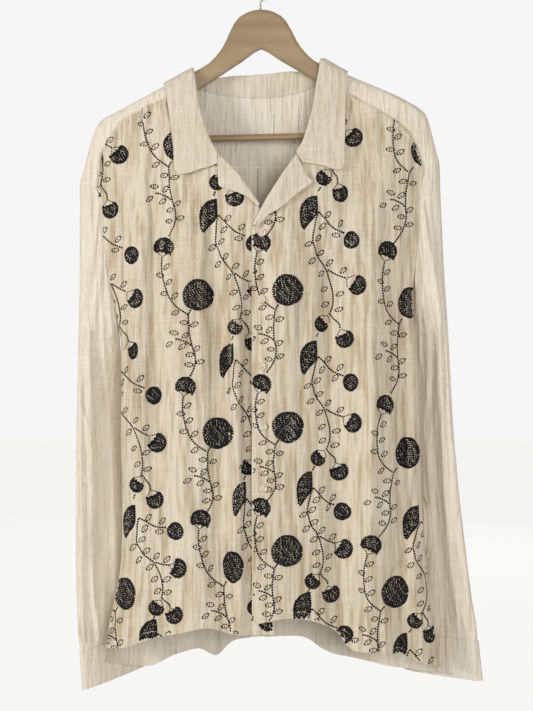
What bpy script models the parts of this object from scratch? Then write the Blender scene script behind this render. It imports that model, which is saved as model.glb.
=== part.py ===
"""An embroidered camp-collar shirt on a wooden hanger.

Sizes are in millimetres up to the last step, which writes metres.
X runs to the right of someone facing the front, which is the wearer's left.
The front faces -Y. The origin is the inside crest of the hanger's hook.
"""

import math

import bmesh
import bpy
import numpy as np
from mathutils import Vector

MM = 0.001
JOIN_DISTANCE = 0.01

# Cloth
CLOTH = 1.4
COLLAR_CLOTH = 1.6
SEAM_GAP = 0.5
YOKE_GAP = 0.8
NECK_GAP = 2.4
SEAT_GAP = 0.4
SHOULDER_GAP = 0.9

# Hanger
HANGER_DEPTH = 12.0
HANGER_ROUNDING = 3.9
HANGER_TILT = math.radians(1.5)
ARM_START_X = 78.0
ARM_START_Z = -133.0
ARM_SLOPE = 0.512
BAR_DIAMETER = 9.0
BAR_Z = -225.0
BAR_HALF_LENGTH = 181.7
WIRE_DIAMETER = 3.2
HOOK_RADIUS = 24.0
WOOD_TOP_Z = -59.0

# Half of the hanger's outline, from the top of its head round to the notch
HANGER_OUTLINE = [
    # x, z
    (0, -59), (9, -60), (17, -62.5), (27, -68), (34, -76), (40.5, -88), (46, -100),
    (52, -110), (60, -119.5), (68, -127), (78, -133), (109, -148.9), (140, -164.7),
    (168, -179.1), (196, -193.4), (204, -199), (208.5, -207), (209.4, -219),
    (207, -230), (199, -235.5), (190, -236.5), (184, -235), (182, -231), (182, -217),
    (177, -212.5), (150, -198), (115, -179.5), (79.4, -159), (51, -142), (25, -126),
    (8, -114), (0, -110.5),
]

# The shoulder line between the arms, where no cloth lies but the collar stands
NECK_RIDGE = [
    # x without its sign, z
    (0, -136), (40, -133.5), (65, -131.5), (78, -133),
]

# How far the cloth stands off the arm, and where it falls past the arm's end
PUFF_LEFT = [
    # x, height
    (78, 0.0), (120, 0.5), (160, 3.0), (215, 4.5),
]
FALL_LEFT = [
    # x, z past the end of the arm on the wearer's left
    (210, -188.5), (219, -200.5), (224.5, -220), (230.8, -245), (235, -260), (239, -276),
]
FALL_RIGHT = [
    # x, z past the end of the arm on the wearer's right
    (-203, -202), (-210, -210), (-216, -223), (-225.6, -259), (-232, -281), (-237, -298),
]

# Edges of the body seen from the front: armholes down to the underarm, then side seams
SIDE_RIGHT = [
    # x, z
    (-210, -288), (-205, -322), (-200, -371), (-192, -421), (-182, -476), (-179.7, -510),
    (-178.8, -634), (-178, -690), (-179, -771), (-187.5, -823), (-195, -856), (-198, -887),
]
SIDE_LEFT = [
    # x, z
    (212, -268), (207.5, -308), (206, -349), (202.5, -398), (200, -440), (202, -468),
    (206.5, -513), (209, -560), (210.5, -645), (213, -710), (216, -770), (223, -830),
    (231, -880), (236, -912),
]
UNDERARM_RIGHT_Z = -476.0
UNDERARM_LEFT_Z = -440.0

# Front yoke seams, from the armhole to the neck
YOKE_SEAM_RIGHT = [
    # x, z
    (-210, -288), (-207.5, -262), (-204, -245), (-197, -230.5), (-181, -209), (-165, -196.5),
    (-142, -183), (-122, -176), (-96.5, -165.5),
]
YOKE_SEAM_LEFT = [
    # x, z
    (212, -268), (208, -249), (203, -235), (193, -219), (179, -206), (160, -194),
    (142, -184), (118, -171), (92, -158.5),
]
YOKE_BACK_Z = -261.0
YOKE_BACK_NECK_X = 92.0
YOKE_END_RIGHT = (-212.0, -290.0)
YOKE_END_LEFT = (214.0, -270.0)
YOKE_FALL = 22.0
YOKE_SIDE_COLUMNS = 9
YOKE_NECK_COLUMNS = 16
YOKE_BACK_ROWS = 4
YOKE_CORNER_DROP = -22.0
COLLAR_COLUMNS = 44
LAPEL_COLUMNS = 9

# Columns and rows of each net
FRONT_LEFT_NET = (20, 24)
FRONT_RIGHT_NET = (18, 24)
BACK_NET = (7, 14)
SLEEVE_NET = (22, 13)
CUFF_NET = (24, 2)
POCKET_NET = (3, 8)
LABEL_NET = (4, 3)

# Drops at which the yoke turns over the arm, the last one where the back neck starts
YOKE_DROPS = (-10.5, -5.2, -1.4, 0.0, 1.4, 5.2, 10.5, 15.0)
BACK_NECK_ROWS = (7, 13)

# Hems, from the wearer's right to the left
HEM_FRONT_RIGHT = [
    # x, z
    (-198, -887), (-172, -882.5), (-145, -872), (-106, -863), (-67, -856), (-42, -862.5),
    (-10, -865), (19, -864),
]
HEM_FRONT_LEFT = [
    # x, z
    (-8.6, -836), (-2, -848.5), (13, -846.5), (34, -843), (65, -846), (95, -859),
    (118, -884), (141, -886.5), (176, -890), (205, -901), (236, -912),
]
HEM_BACK = [
    # x, z
    (-210, -908), (-194, -911), (-162, -918), (-140, -918), (-110, -903), (-80, -896.5),
    (-57, -906), (-34, -886), (0, -882), (55, -881), (87, -898), (128, -909), (165, -918),
    (205, -922), (238, -924),
]

# How far the front and back swell past the hanger's depth, by height
FRONT_SWELL = [
    # z, depth
    (-120, 0), (-150, 3), (-200, 12), (-260, 22), (-350, 30), (-500, 33), (-700, 35), (-930, 37),
]
BACK_SWELL = [
    # z, depth
    (-120, 0), (-170, 3), (-262, 12), (-400, 18), (-600, 22), (-930, 25),
]
ARM_HALF_DEPTH = 10.5
SIDE_Y = 4.0

# Large folds: a ridge has a positive depth and a valley a negative one
FRONT_RIGHT_FOLDS = [
    # top x, top z, foot x, foot z, half width, depth
    (-152, -290, -158, -880, 17, 5.0),
    (-137, -240, -131, -640, 9, -5.0),
    (-104, -280, -96, -870, 22, 4.0),
    (-62, -270, -44, -880, 14, -8.0),
    (-27, -400, -24, -880, 10, 4.0),
]
FRONT_LEFT_FOLDS = [
    # top x, top z, foot x, foot z, half width, depth
    (30, -340, 22, -860, 22, 5.0),
    (86, -330, 108, -900, 24, -14.0),
    (152, -240, 142, -910, 16, 6.0),
    (176, -360, 187, -920, 13, -8.0),
    (120, -230, 112, -360, 11, -4.0),
]
BACK_FOLDS = [
    # top x, top z, foot x, foot z, half width, depth
    (-150, -300, -152, -930, 15, 5.0),
    (-112, -300, -104, -930, 15, -6.0),
    (-66, -340, -66, -930, 17, 4.0),
    (58, -320, 62, -930, 16, 5.0),
    (100, -300, 104, -930, 15, -6.0),
    (150, -300, 156, -930, 17, 5.0),
]
FOLD_FADE = 90.0

# Gathers below the front yoke seams
GATHER_PITCH = 21.0
GATHER_DEPTH = 1.5
GATHER_LENGTH = 60.0

# Box pleat in the middle of the back
PLEAT_X = -2.0
PLEAT_HALF_WIDTH = 19.0
PLEAT_LAYER = 2.3
PLEAT_PUFF = 1.2
PLEAT_BEND = 1.3
PLEAT_UNDER = 2.2
PLEAT_UNDER_LOOSE = 11.0

# How far the front and the back stand apart at the side seams
SIDE_SHIFT = 0.7

# Collar: seam, roll line and free edge, each as x and drop below the shoulder line,
# with the drop negative in front of that line and positive behind it
COLLAR = [
    # seam x, seam drop, roll x, roll drop, edge x, edge drop, lift at the roll
    (-57.4, -121, -53.4, -118.5, -53.4, -132.5, 3.4),
    (-63, -108, -59, -108, -72, -138, 3.8),
    (-72, -93, -66, -93, -104, -127, 4.2),
    (-84, -58, -75, -61, -109.6, -88.5, 4.4),
    (-93, -27, -80, -32, -115, -45, 4.0),
    (-97, -8, -83.5, -8, -120, -12, 3.6),
    (-97.5, 4, -84, 2, -122, 4, 3.6),
    (-92, 15, -80, 9, -116, 26, 4.0),
    (-70, 32, -62, 16, -88, 60, 4.6),
    (-38, 38, -36, 12, -48, 72, 5.0),
    (0, 38.5, 0, 9, 0, 73, 5.0),
    (36, 38, 36, 8, 50, 72, 5.0),
    (66, 33, 60, 10, 88, 58, 5.0),
    (88, 15, 75, 6, 108, 27, 5.4),
    (93.5, 4, 79, 1, 113, 5, 5.6),
    (93, -8, 78.5, -7, 113, -11, 5.6),
    (88, -30, 74, -34, 110.5, -53, 5.0),
    (80, -60, 69.5, -63, 109.5, -95, 4.6),
    (68, -96, 58, -102, 106, -130, 4.4),
    (56, -112, 51.5, -113.5, 78, -137.5, 3.8),
    (52.4, -121.5, 48.2, -119.5, 55.5, -133.5, 3.4),
]

# Lapels: seam, roll line and free edge, each as x and z
LAPEL_RIGHT = [
    # seam x, seam z, roll x, roll z, edge x, edge z
    (-58.0, -255.4, -52.6, -250.5, -52.3, -265.5),
    (-48.5, -260, -45.5, -256.8, -51.9, -280),
    (-38.5, -268, -36.5, -266, -50.5, -292),
    (-27.5, -279.5, -25.5, -277.5, -40, -296.5),
    (-16.2, -295, -14.2, -293.2, -25, -301.5),
    (-7.2, -308.2, -5.2, -306.5, -11, -309.5),
    (-1.4, -317.2, 0.6, -315.8, -1.6, -318.6),
]
LAPEL_LEFT = [
    # seam x, seam z, roll x, roll z, edge x, edge z
    (52.8, -256.6, 47.4, -252, 54.6, -266),
    (43.2, -265.4, 40, -262.6, 62, -280),
    (35, -274.8, 32.8, -273, 66.9, -288.4),
    (24.6, -290.4, 22.4, -288.6, 48, -302.5),
    (13.6, -308.2, 11.4, -306.4, 28.5, -319.8),
    (4.6, -324.6, 2.4, -323, 12.5, -329),
    (-5, -342.6, -7.2, -341.4, -2.6, -344.6),
]
LAPEL_LIFT = 4.4
EDGE_LIFT = 3.2
STAND_LIFT = -0.4
OVERLAP_X = 19.0
ROWS_TO_GORGE = 5
FRONT_EDGE_X = -8.9
UNDERLAP_SINK = 2.8

# Sleeves: outline at each height, in x, and the depth of its two folds
SLEEVE_RIGHT = [
    # z, outer x, inner x, outer y, inner y, half depth
    (-270, -231, -214, 3, 4, 13),
    (-340, -232, -209, 3, 4, 15),
    (-421, -233.5, -197, 4, 5, 16),
    (-476, -235, -187, 6, 9, 17),
    (-510, -236, -184, 7, 30, 18),
    (-560, -237, -178, 8, 50, 18),
    (-635, -238.8, -171, 8, 56, 18),
    (-774, -239, -166, 8, 58, 18),
    (-839, -238, -160, 10, 62, 16),
    (-900, -234, -152, 16, 66, 12),
    (-960, -231, -152, 18, 64, 11),
]
SLEEVE_LEFT = [
    # z, outer x, inner x, outer y, inner y, half depth
    (-255, 236, 217, 3, 4, 13),
    (-308, 238, 212, 3, 4, 15),
    (-383, 240.5, 208, 4, 5, 16),
    (-440, 244, 206, 6, 9, 17),
    (-475, 246.5, 208, 7, 30, 18),
    (-522, 249, 207, 8, 50, 18),
    (-600, 253, 203, 8, 56, 18),
    (-700, 262, 203, 8, 58, 18),
    (-800, 274, 205, 8, 60, 17),
    (-879, 286, 201, 14, 66, 13),
    (-940, 293, 195, 16, 64, 11),
]
SLEEVE_WAVES = 5
SLEEVE_WAVE_DEPTH = 3.0
CUFF_RIGHT_SEAM_Z = -896.0
CUFF_LEFT_SEAM_Z = -882.0
CUFF_HEIGHT = 52.0
CUFF_RIGHT_TILT = 0.30
CUFF_LEFT_TILT = 0.06
CUFF_LAP = 0.10
ARMHOLE_GAP = 2.0
CUFF_LAP_LIFT = 2.9
CUFF_CLOTH = 1.6

# Buttons
BUTTON_DIAMETER = 10.8
BUTTON_THICKNESS = 2.4
BUTTON_PLACES = [
    # x, z
    (3.5, -352), (3.5, -437), (4, -522), (5.9, -599), (5.9, -677),
]

# Pocket mouth in the wearer's left side seam, and the neck label
POCKET_TOP_Z = -690.0
POCKET_FOOT_Z = -768.0
POCKET_GAPE = 11.0
POCKET_CLOTH = 1.2
LABEL_SIZE = (45.0, 35.0)
LABEL_CENTRE = (-4.0, -210.0)
LABEL_CLOTH = 1.0


def clear_scene():
    for item in list(bpy.data.objects):
        bpy.data.objects.remove(item, do_unlink=True)


def make_material(name, colour, roughness, metallic=0.0):
    material = bpy.data.materials.new(name)
    material.use_nodes = True
    shader = material.node_tree.nodes["Principled BSDF"]
    shader.inputs["Base Color"].default_value = (*colour, 1.0)
    shader.inputs["Roughness"].default_value = roughness
    shader.inputs["Metallic"].default_value = metallic
    return material


def smoothstep(low, high, value):
    part = np.clip((np.asarray(value, float) - low) / (high - low), 0.0, 1.0)
    return part * part * (3.0 - 2.0 * part)


def between_rows(rows, place):
    """Values between numbered rows, on a smooth curve through them."""
    table = np.asarray(rows, float)
    ends = np.vstack([2 * table[0] - table[1], table, 2 * table[-1] - table[-2]])
    place = np.clip(np.asarray(place, float), 0, len(table) - 1 - 1e-9)
    row = place.astype(int)
    part = (place - row)[..., None]
    a, b, c, d = (ends[row + step] for step in range(4))
    return 0.5 * (2 * b + (c - a) * part + (2 * a - 5 * b + 4 * c - d) * part ** 2
                  + (3 * b - a - 3 * c + d) * part ** 3)


def along(rows, parts):
    """Points at the given parts of the length of a smooth curve through the rows."""
    fine = between_rows(rows, np.linspace(0, len(rows) - 1, 40 * len(rows)))
    length = np.concatenate([[0], np.cumsum(np.linalg.norm(np.diff(fine, axis=0), axis=1))])
    wanted = np.asarray(parts, float) * length[-1]
    return np.stack([np.interp(wanted, length, column) for column in fine.T], axis=-1)


def reader(rows):
    """A function that reads the second column of the rows at a value of the first."""
    fine = between_rows(rows, np.linspace(0, len(rows) - 1, 40 * len(rows)))
    fine = fine[np.argsort(fine[:, 0])]
    return lambda value: np.interp(value, fine[:, 0], fine[:, 1])


def swapped(rows):
    return [(row[1], row[0]) for row in rows]


def tilted(x, z):
    """A point of the hanger after it swings on its hook."""
    return (x * math.cos(HANGER_TILT) - z * math.sin(HANGER_TILT),
            x * math.sin(HANGER_TILT) + z * math.cos(HANGER_TILT))


def shoulder_rows():
    """The shoulder line over the hanger's arms, from the wearer's right to the left."""
    rise = (CLOTH + SHOULDER_GAP) * math.hypot(1.0, ARM_SLOPE)
    puff = reader(PUFF_LEFT)
    arm = [(x, ARM_START_Z - ARM_SLOPE * (x - ARM_START_X)) for x in range(88, 196, 18)]
    half = NECK_RIDGE + arm
    rows = [tilted(-x, z) for x, z in half[:0:-1]] + [tilted(x, z) for x, z in half]
    rows = [(x, z + rise + (float(puff(x)) if x > 0 else 0.0)) for x, z in rows]
    return FALL_RIGHT[::-1] + rows + FALL_LEFT


shoulder_z = reader(shoulder_rows())
side_right_x = reader(swapped(SIDE_RIGHT))
side_left_x = reader(swapped(SIDE_LEFT))
front_swell = reader(FRONT_SWELL)
back_swell = reader(BACK_SWELL)


def over_arm(drop, x):
    """Half depth of the cloth where it lies over the hanger's arm."""
    slope = (shoulder_z(x + 1.0) - shoulder_z(x - 1.0)) / 2.0
    away = np.abs(drop) / np.sqrt(1.0 + slope ** 2)
    inside = 1.0 - np.clip(away / ARM_HALF_DEPTH, 0.0, 1.0)
    return ARM_HALF_DEPTH * np.sqrt(np.clip(1.0 - inside ** 2, 0.0, 1.0))


def body_y(x, z, side):
    """Depth of the plain body at x and z. side is -1 for the front and 1 for the back."""
    left = side_right_x(z)
    right = side_left_x(z)
    across = np.clip(np.abs((2 * x - left - right) / (right - left)), 0.0, 1.0)
    underarm = UNDERARM_RIGHT_Z + (UNDERARM_LEFT_Z - UNDERARM_RIGHT_Z) * smoothstep(-100, 100, x)
    below = smoothstep(0, 1, (underarm + 60.0 - z) / 80.0)
    flat = 1.0 - across ** 2.4
    round_side = (1.0 - across ** 3) ** (1.0 / 3.0)
    swell = front_swell(z) if side < 0 else back_swell(z)
    edge = side * over_arm(shoulder_z(x) - z, x) * (1.0 - below) + SIDE_Y * below
    arm_part = ARM_HALF_DEPTH * below * round_side
    return edge + side * (arm_part + swell * (flat * (1.0 - below) + round_side * below))


def side_shift(x, z):
    """How far the cloth stands off its neighbour across the side seam."""
    near_edge = np.minimum(x - side_right_x(z), side_left_x(z) - x)
    return SIDE_SHIFT * (1.0 - smoothstep(10, 60, near_edge))


def fold_depth(x, z, folds):
    """How far the folds push the cloth out, fading to nothing at the side edges."""
    depth = np.zeros(np.broadcast(x, z).shape)
    for top_x, top_z, foot_x, foot_z, width, height in folds:
        down = (top_z - z) / (top_z - foot_z)
        line = top_x + (foot_x - top_x) * down
        fade = smoothstep(0, FOLD_FADE, top_z - z) * smoothstep(-1, FOLD_FADE, z - foot_z + 80)
        depth = depth + height * fade * np.exp(-((x - line) / width) ** 2)
    near_edge = np.minimum(x - side_right_x(z), side_left_x(z) - x)
    return depth * smoothstep(0, 26, near_edge)


def gather_depth(x, z, seam):
    """Small gathers that fade out below the yoke seam."""
    below = seam(x) - z
    fade = smoothstep(0, 8, below) * (1.0 - smoothstep(14, GATHER_LENGTH, below))
    return GATHER_DEPTH * fade * np.cos(2 * math.pi * x / GATHER_PITCH)


def on_body(x, drop, lift):
    """A point on the plain body, lifted off it along its normal."""
    def plain(px, pdrop):
        z = shoulder_z(px) - np.abs(pdrop)
        y = np.where(pdrop < 0, body_y(px, z, -1), body_y(px, z, 1))
        return np.stack(np.broadcast_arrays(px, y, z), axis=-1)

    step = 1.5
    along_x = plain(x + step, drop) - plain(x - step, drop)
    along_drop = plain(x, drop + step) - plain(x, drop - step)
    normal = np.cross(along_x, along_drop)
    normal /= np.linalg.norm(normal, axis=-1, keepdims=True)
    return plain(x, drop) + normal * np.asarray(lift, float)[..., None]


def net_normals(net):
    """Normals of a net of points, rows by columns."""
    normal = np.cross(np.gradient(net, axis=1), np.gradient(net, axis=0))
    return normal / np.maximum(np.linalg.norm(normal, axis=-1, keepdims=True), 1e-9)


def make_wall(name, nets, thickness, material, facing=None):
    """A closed wall of cloth over nets that share their edge points.

    The nets are its outer face, which looks along facing, or its middle with no facing given.
    """
    mesh = bmesh.new()
    for net in nets:
        rows = [[mesh.verts.new(point * MM) for point in row] for row in net]
        for above, below in zip(rows, rows[1:]):
            for corners in zip(above, below, below[1:], above[1:]):
                mesh.faces.new(corners)
    bmesh.ops.remove_doubles(mesh, verts=mesh.verts, dist=JOIN_DISTANCE * MM)
    mesh.normal_update()
    middle = sum((face.calc_center_median() for face in mesh.faces), Vector()) / len(mesh.faces)
    if facing == "outwards":
        looks = sum(face.normal.dot(face.calc_center_median() - middle) for face in mesh.faces)
    else:
        looks = sum(face.normal.dot(facing or (0, -1, 0)) for face in mesh.faces)
    if looks < 0:
        bmesh.ops.reverse_faces(mesh, faces=mesh.faces)
        mesh.normal_update()
    faces = list(mesh.faces)
    rims = [edge for edge in mesh.edges if edge.is_boundary]
    inner = {}
    for vert in list(mesh.verts):
        normal = vert.normal.copy()
        inner[vert] = mesh.verts.new(vert.co - normal * thickness * MM)
        if facing is None:
            inner[vert].co += normal * thickness / 2 * MM
            vert.co += normal * thickness / 2 * MM
    for face in faces:
        first, *others = face.verts
        mesh.faces.new([inner[vert] for vert in (first, *reversed(others))])
    for edge in rims:
        loop = edge.link_loops[0]
        start, end = loop.vert, loop.link_loop_next.vert
        mesh.faces.new((end, start, inner[start], inner[end]))
    return finish_mesh(name, mesh, material)


def finish_mesh(name, mesh, material, sharp=35.0):
    data = bpy.data.meshes.new(name)
    mesh.to_mesh(data)
    mesh.free()
    data.shade_smooth()
    data.set_sharp_from_angle(angle=math.radians(sharp))
    data.materials.append(material)
    item = bpy.data.objects.new(name, data)
    bpy.context.collection.objects.link(item)
    return item


def patch(top, foot, near, far, across, down):
    """A net of x and z between four edges, blended from them."""
    u = np.asarray(across, float)[None, :, None]
    v = np.asarray(down, float)[:, None, None]
    top, foot = np.asarray(top)[None], np.asarray(foot)[None]
    near, far = np.asarray(near)[:, None], np.asarray(far)[:, None]
    corners = ((1 - u) * (1 - v) * top[:, :1] + u * (1 - v) * top[:, -1:]
               + (1 - u) * v * foot[:, :1] + u * v * foot[:, -1:])
    return (1 - v) * top + v * foot + (1 - u) * near + u * far - corners


def turn_over_arm(drop):
    """Length along the cloth where it turns over the arm, for a drop on either side."""
    inside = 1.0 - np.clip(np.abs(drop) / ARM_HALF_DEPTH, 0.0, 1.0)
    return np.sign(drop) * ARM_HALF_DEPTH * np.arccos(inside)


def collar_places(columns):
    """Places along the collar's rows, closer together where it turns over the arms."""
    fine = np.linspace(0, len(COLLAR) - 1, 2000)
    table = between_rows(COLLAR, fine)
    steps = np.abs(np.diff(table[:, 0])) + 0.5 * np.abs(np.diff(table[:, 1]))
    for drop_column in (1, 3, 5):
        steps = steps + 0.8 * np.abs(np.diff(turn_over_arm(table[:, drop_column])))
    length = np.concatenate([[0], np.cumsum(steps)])
    return np.interp(np.linspace(0, length[-1], columns + 1), length, fine)


def seam_line():
    """The neck seam as x and drop, in fine steps."""
    return between_rows([row[:2] for row in COLLAR], np.linspace(0, len(COLLAR) - 1, 800))


def yoke_corner(wearer_left):
    """Where the front yoke seam meets the neck seam, as x and z."""
    line = seam_line()
    front = line[(line[:, 1] < 0) & ((line[:, 0] > 0) == wearer_left)]
    order = np.argsort(front[:, 1])
    x = float(np.interp(YOKE_CORNER_DROP, front[order, 1], front[order, 0]))
    return x, float(shoulder_z(x)) + YOKE_CORNER_DROP


def neck_from_corner(wearer_left):
    """The neck seam from the front yoke seam down to the gorge, as x and z."""
    line = seam_line()
    front = line[(line[:, 1] < YOKE_CORNER_DROP - 8) & ((line[:, 0] > 0) == wearer_left)]
    points = np.stack([front[:, 0], shoulder_z(front[:, 0]) + front[:, 1]], axis=-1)
    points = points if wearer_left else points[::-1]
    return points[::45]


def front_net(wearer_left, columns, rows):
    """Outer points of one front, from the yoke seam to the hem."""
    side_rows = SIDE_LEFT if wearer_left else SIDE_RIGHT
    lapel = LAPEL_LEFT if wearer_left else LAPEL_RIGHT
    hem = HEM_FRONT_LEFT if wearer_left else HEM_FRONT_RIGHT
    folds = FRONT_LEFT_FOLDS if wearer_left else FRONT_RIGHT_FOLDS
    outward = 1.0 if wearer_left else -1.0
    neck = neck_from_corner(wearer_left)
    neck = neck[neck[:, 1] > lapel[0][1] + 10.0]
    inner = [yoke_corner(wearer_left)] + [tuple(point) for point in neck]
    inner += [(row[0], row[1]) for row in lapel[:-1]]
    if wearer_left:
        inner += [(lapel[-1][0], lapel[-1][1]), (FRONT_EDGE_X, -352), (FRONT_EDGE_X, -420)]
        inner += [(FRONT_EDGE_X, -560), (FRONT_EDGE_X, -700), hem[0]]
    else:
        inner += [(2.0, -322), (13, -338), (OVERLAP_X, -365), (OVERLAP_X, -560)]
        inner += [(OVERLAP_X, -700), hem[-1]]
    edge_in = [(x + outward * NECK_GAP, z) for x, z in inner[:-6]] + inner[-6:]
    across = np.sin(np.linspace(0, 1, columns + 1) * math.pi / 2 * 0.86)
    across /= across[-1]
    spans = np.linalg.norm(np.diff(edge_in, axis=0), axis=1)
    gorge = spans[:len(neck) + 1].sum() / spans.sum()
    down = np.concatenate([np.linspace(0, gorge, ROWS_TO_GORGE + 1),
                           np.linspace(gorge, 1, rows - ROWS_TO_GORGE + 1)[1:]])
    steps = yoke_seam(wearer_left)[::-1]
    length = np.concatenate([[0], np.cumsum(np.linalg.norm(np.diff(steps, axis=0), axis=1))])
    top = np.stack([np.interp(across, length / length[-1], steps[:, k]) for k in (0, 1)], axis=-1)
    run = np.gradient(top, axis=0)
    run /= np.linalg.norm(run, axis=1, keepdims=True)
    top += outward * YOKE_GAP * np.stack([run[:, 1], -run[:, 0]], axis=-1)
    foot = along(hem if wearer_left else hem[::-1], across)
    near = along(edge_in, down)
    far = along(side_rows, down)
    near[0], near[-1] = top[0], foot[0]
    far[0], far[-1] = top[-1], foot[-1]
    flat = patch(top, foot, near, far, across, down)
    x, z = flat[..., 0], flat[..., 1]
    sink = 0.0
    if not wearer_left:
        cover = np.where(z < -347, FRONT_EDGE_X, np.interp(z, [-347, -320, -252], [-8.8, 5.7, 47]))
        sink = UNDERLAP_SINK * smoothstep(-16, -2, x - cover)
    seam = reader(YOKE_SEAM_LEFT if wearer_left else YOKE_SEAM_RIGHT)
    out = fold_depth(x, z, folds) + gather_depth(x, z, seam)
    y = body_y(x, z, -1) - out + sink - side_shift(x, z)
    return np.stack([x, y, z], axis=-1)


def yoke_seam(wearer_left):
    """The front yoke seam as straight steps, from the armhole to the neck."""
    seam = YOKE_SEAM_LEFT if wearer_left else YOKE_SEAM_RIGHT
    return along(seam[:-1] + [yoke_corner(wearer_left)], np.linspace(0, 1, YOKE_SIDE_COLUMNS + 1))


def yoke_drops(low, high):
    """Drops down one column of the yoke's side, closest together over the arm."""
    last = YOKE_DROPS[-1]
    back = [last + (high - last) * step / YOKE_BACK_ROWS for step in range(1, YOKE_BACK_ROWS + 1)]
    return np.array([low, (low + YOKE_DROPS[0]) / 2, *YOKE_DROPS, *back])


def yoke_side(wearer_left):
    """One side of the yoke from its front seam over the arm to its back seam."""
    front = yoke_seam(wearer_left)
    outward = 1.0 if wearer_left else -1.0
    end_x, end_z = YOKE_END_LEFT if wearer_left else YOKE_END_RIGHT
    parts = (front[:, 0] - front[0, 0]) / (front[-1, 0] - front[0, 0])
    line = seam_line()
    line = line[(line[:, 1] < YOKE_DROPS[-1] + 1) & ((line[:, 0] > 0) == wearer_left)]
    line = line[np.argsort(line[:, 1])]
    back_x = end_x + (outward * YOKE_BACK_NECK_X - end_x) * parts
    back_z = end_z + (YOKE_BACK_Z - end_z) * parts
    low = front[:, 1] - shoulder_z(front[:, 0])
    high = shoulder_z(back_x) - back_z
    drops = np.array([yoke_drops(a, b) for a, b in zip(low, high)])
    ridge_x = front[0, 0] + outward * YOKE_FALL
    arm_x = np.interp(drops[0], [low[0], 0, high[0]], [front[0, 0], ridge_x, end_x])
    neck_x = np.interp(drops[-1], line[:, 1], line[:, 0])
    rows_down = np.linspace(0, 1, YOKE_BACK_ROWS + 1)
    neck_x[-YOKE_BACK_ROWS - 1:] += (back_x[-1] - neck_x[-1]) * rows_down
    x = arm_x + (neck_x - arm_x) * parts[:, None]
    return on_body(x, drops, np.zeros(drops.shape)).transpose(1, 0, 2)


def yoke_nets():
    """Outer points of the yoke: its two sides, and the back below the neck between them."""
    right, left = yoke_side(False), yoke_side(True)[:, ::-1]
    neck = between_rows([row[:2] for row in COLLAR], np.linspace(*BACK_NECK_ROWS, YOKE_NECK_COLUMNS + 1))
    back_x = YOKE_BACK_NECK_X * np.linspace(-1, 1, len(neck))
    back_drop = shoulder_z(back_x) - YOKE_BACK_Z
    down = np.linspace(0, 1, YOKE_BACK_ROWS + 1)[:, None]
    x = neck[:, 0] + (back_x - neck[:, 0]) * down
    drop = neck[:, 1] + (back_drop - neck[:, 1]) * down
    middle = on_body(x, drop, np.zeros(x.shape))
    middle[:, 0] = right[-YOKE_BACK_ROWS - 1:, -1]
    middle[:, -1] = left[-YOKE_BACK_ROWS - 1:, 0]
    return [right, middle, left]


def pleat_path(loose):
    """Half of the box pleat from its middle out, as x and layer. loose is 0 where it is pressed."""
    reach = PLEAT_HALF_WIDTH
    bend = PLEAT_BEND
    under = PLEAT_UNDER + (PLEAT_UNDER_LOOSE - PLEAT_UNDER) * loose
    return np.array([
        (0, 2), (reach - bend, 2), (reach, 1.5), (reach - bend, 1), (under + bend, 1),
        (under, 0.5), (under + bend, 0), (reach + 4, 0), (reach + 16, 0),
    ])


def back_net(seam, side_columns, rows):
    """Middle of the back's wall, from the yoke's back seam to the hem."""
    down = np.linspace(0, 1, rows + 1)
    edges = [along(rows_of, down) for rows_of in (SIDE_RIGHT, SIDE_LEFT)]
    spread = np.sin(np.linspace(0, 1, side_columns + 1)[1:] * math.pi / 2 * 0.9)
    spread /= spread[-1]
    hem_z = reader(HEM_BACK)
    net = []
    for row, part in enumerate(down):
        loose = float(smoothstep(0.05, 0.7, part))
        path = pleat_path(loose)
        path = np.vstack([path[::-1] * [-1, 1], path[1:]])
        x_mid = PLEAT_X + path[:, 0]
        left, right = edges[0][row, 0], edges[1][row, 0]
        if row == 0:
            left, right = seam[0, 0], seam[-1, 0]
        x = np.concatenate([(x_mid[0] + (left - x_mid[0]) * spread)[::-1], x_mid,
                            x_mid[-1] + (right - x_mid[-1]) * spread])
        flat = np.zeros(side_columns)
        lift = np.concatenate([flat, path[:, 1], flat]) * (PLEAT_LAYER + PLEAT_PUFF * loose)
        top_z = np.interp(x, seam[:, 0], seam[:, 2]) - YOKE_GAP
        z = top_z + (hem_z(x) - top_z) * part
        across = np.clip((2 * x - left - right) / (right - left), -1, 1)
        side_z = np.where(x < 0, edges[0][row, 1], edges[1][row, 1])
        toward = smoothstep(0.8, 1.0, np.abs(across)) if 0 < row < rows else 0.0
        z = z * (1 - toward) + side_z * toward
        folds = fold_depth(x, z, BACK_FOLDS) * smoothstep(0, 30, np.abs(x - PLEAT_X) - 30)
        y = body_y(x, z, 1) + side_shift(x, z) + lift + folds
        inset = CLOTH / 2 * np.sign(across) * smoothstep(0.6, 1.0, np.abs(across))
        net.append(np.stack([x - inset, y, z], axis=-1))
    return np.array(net)


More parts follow.
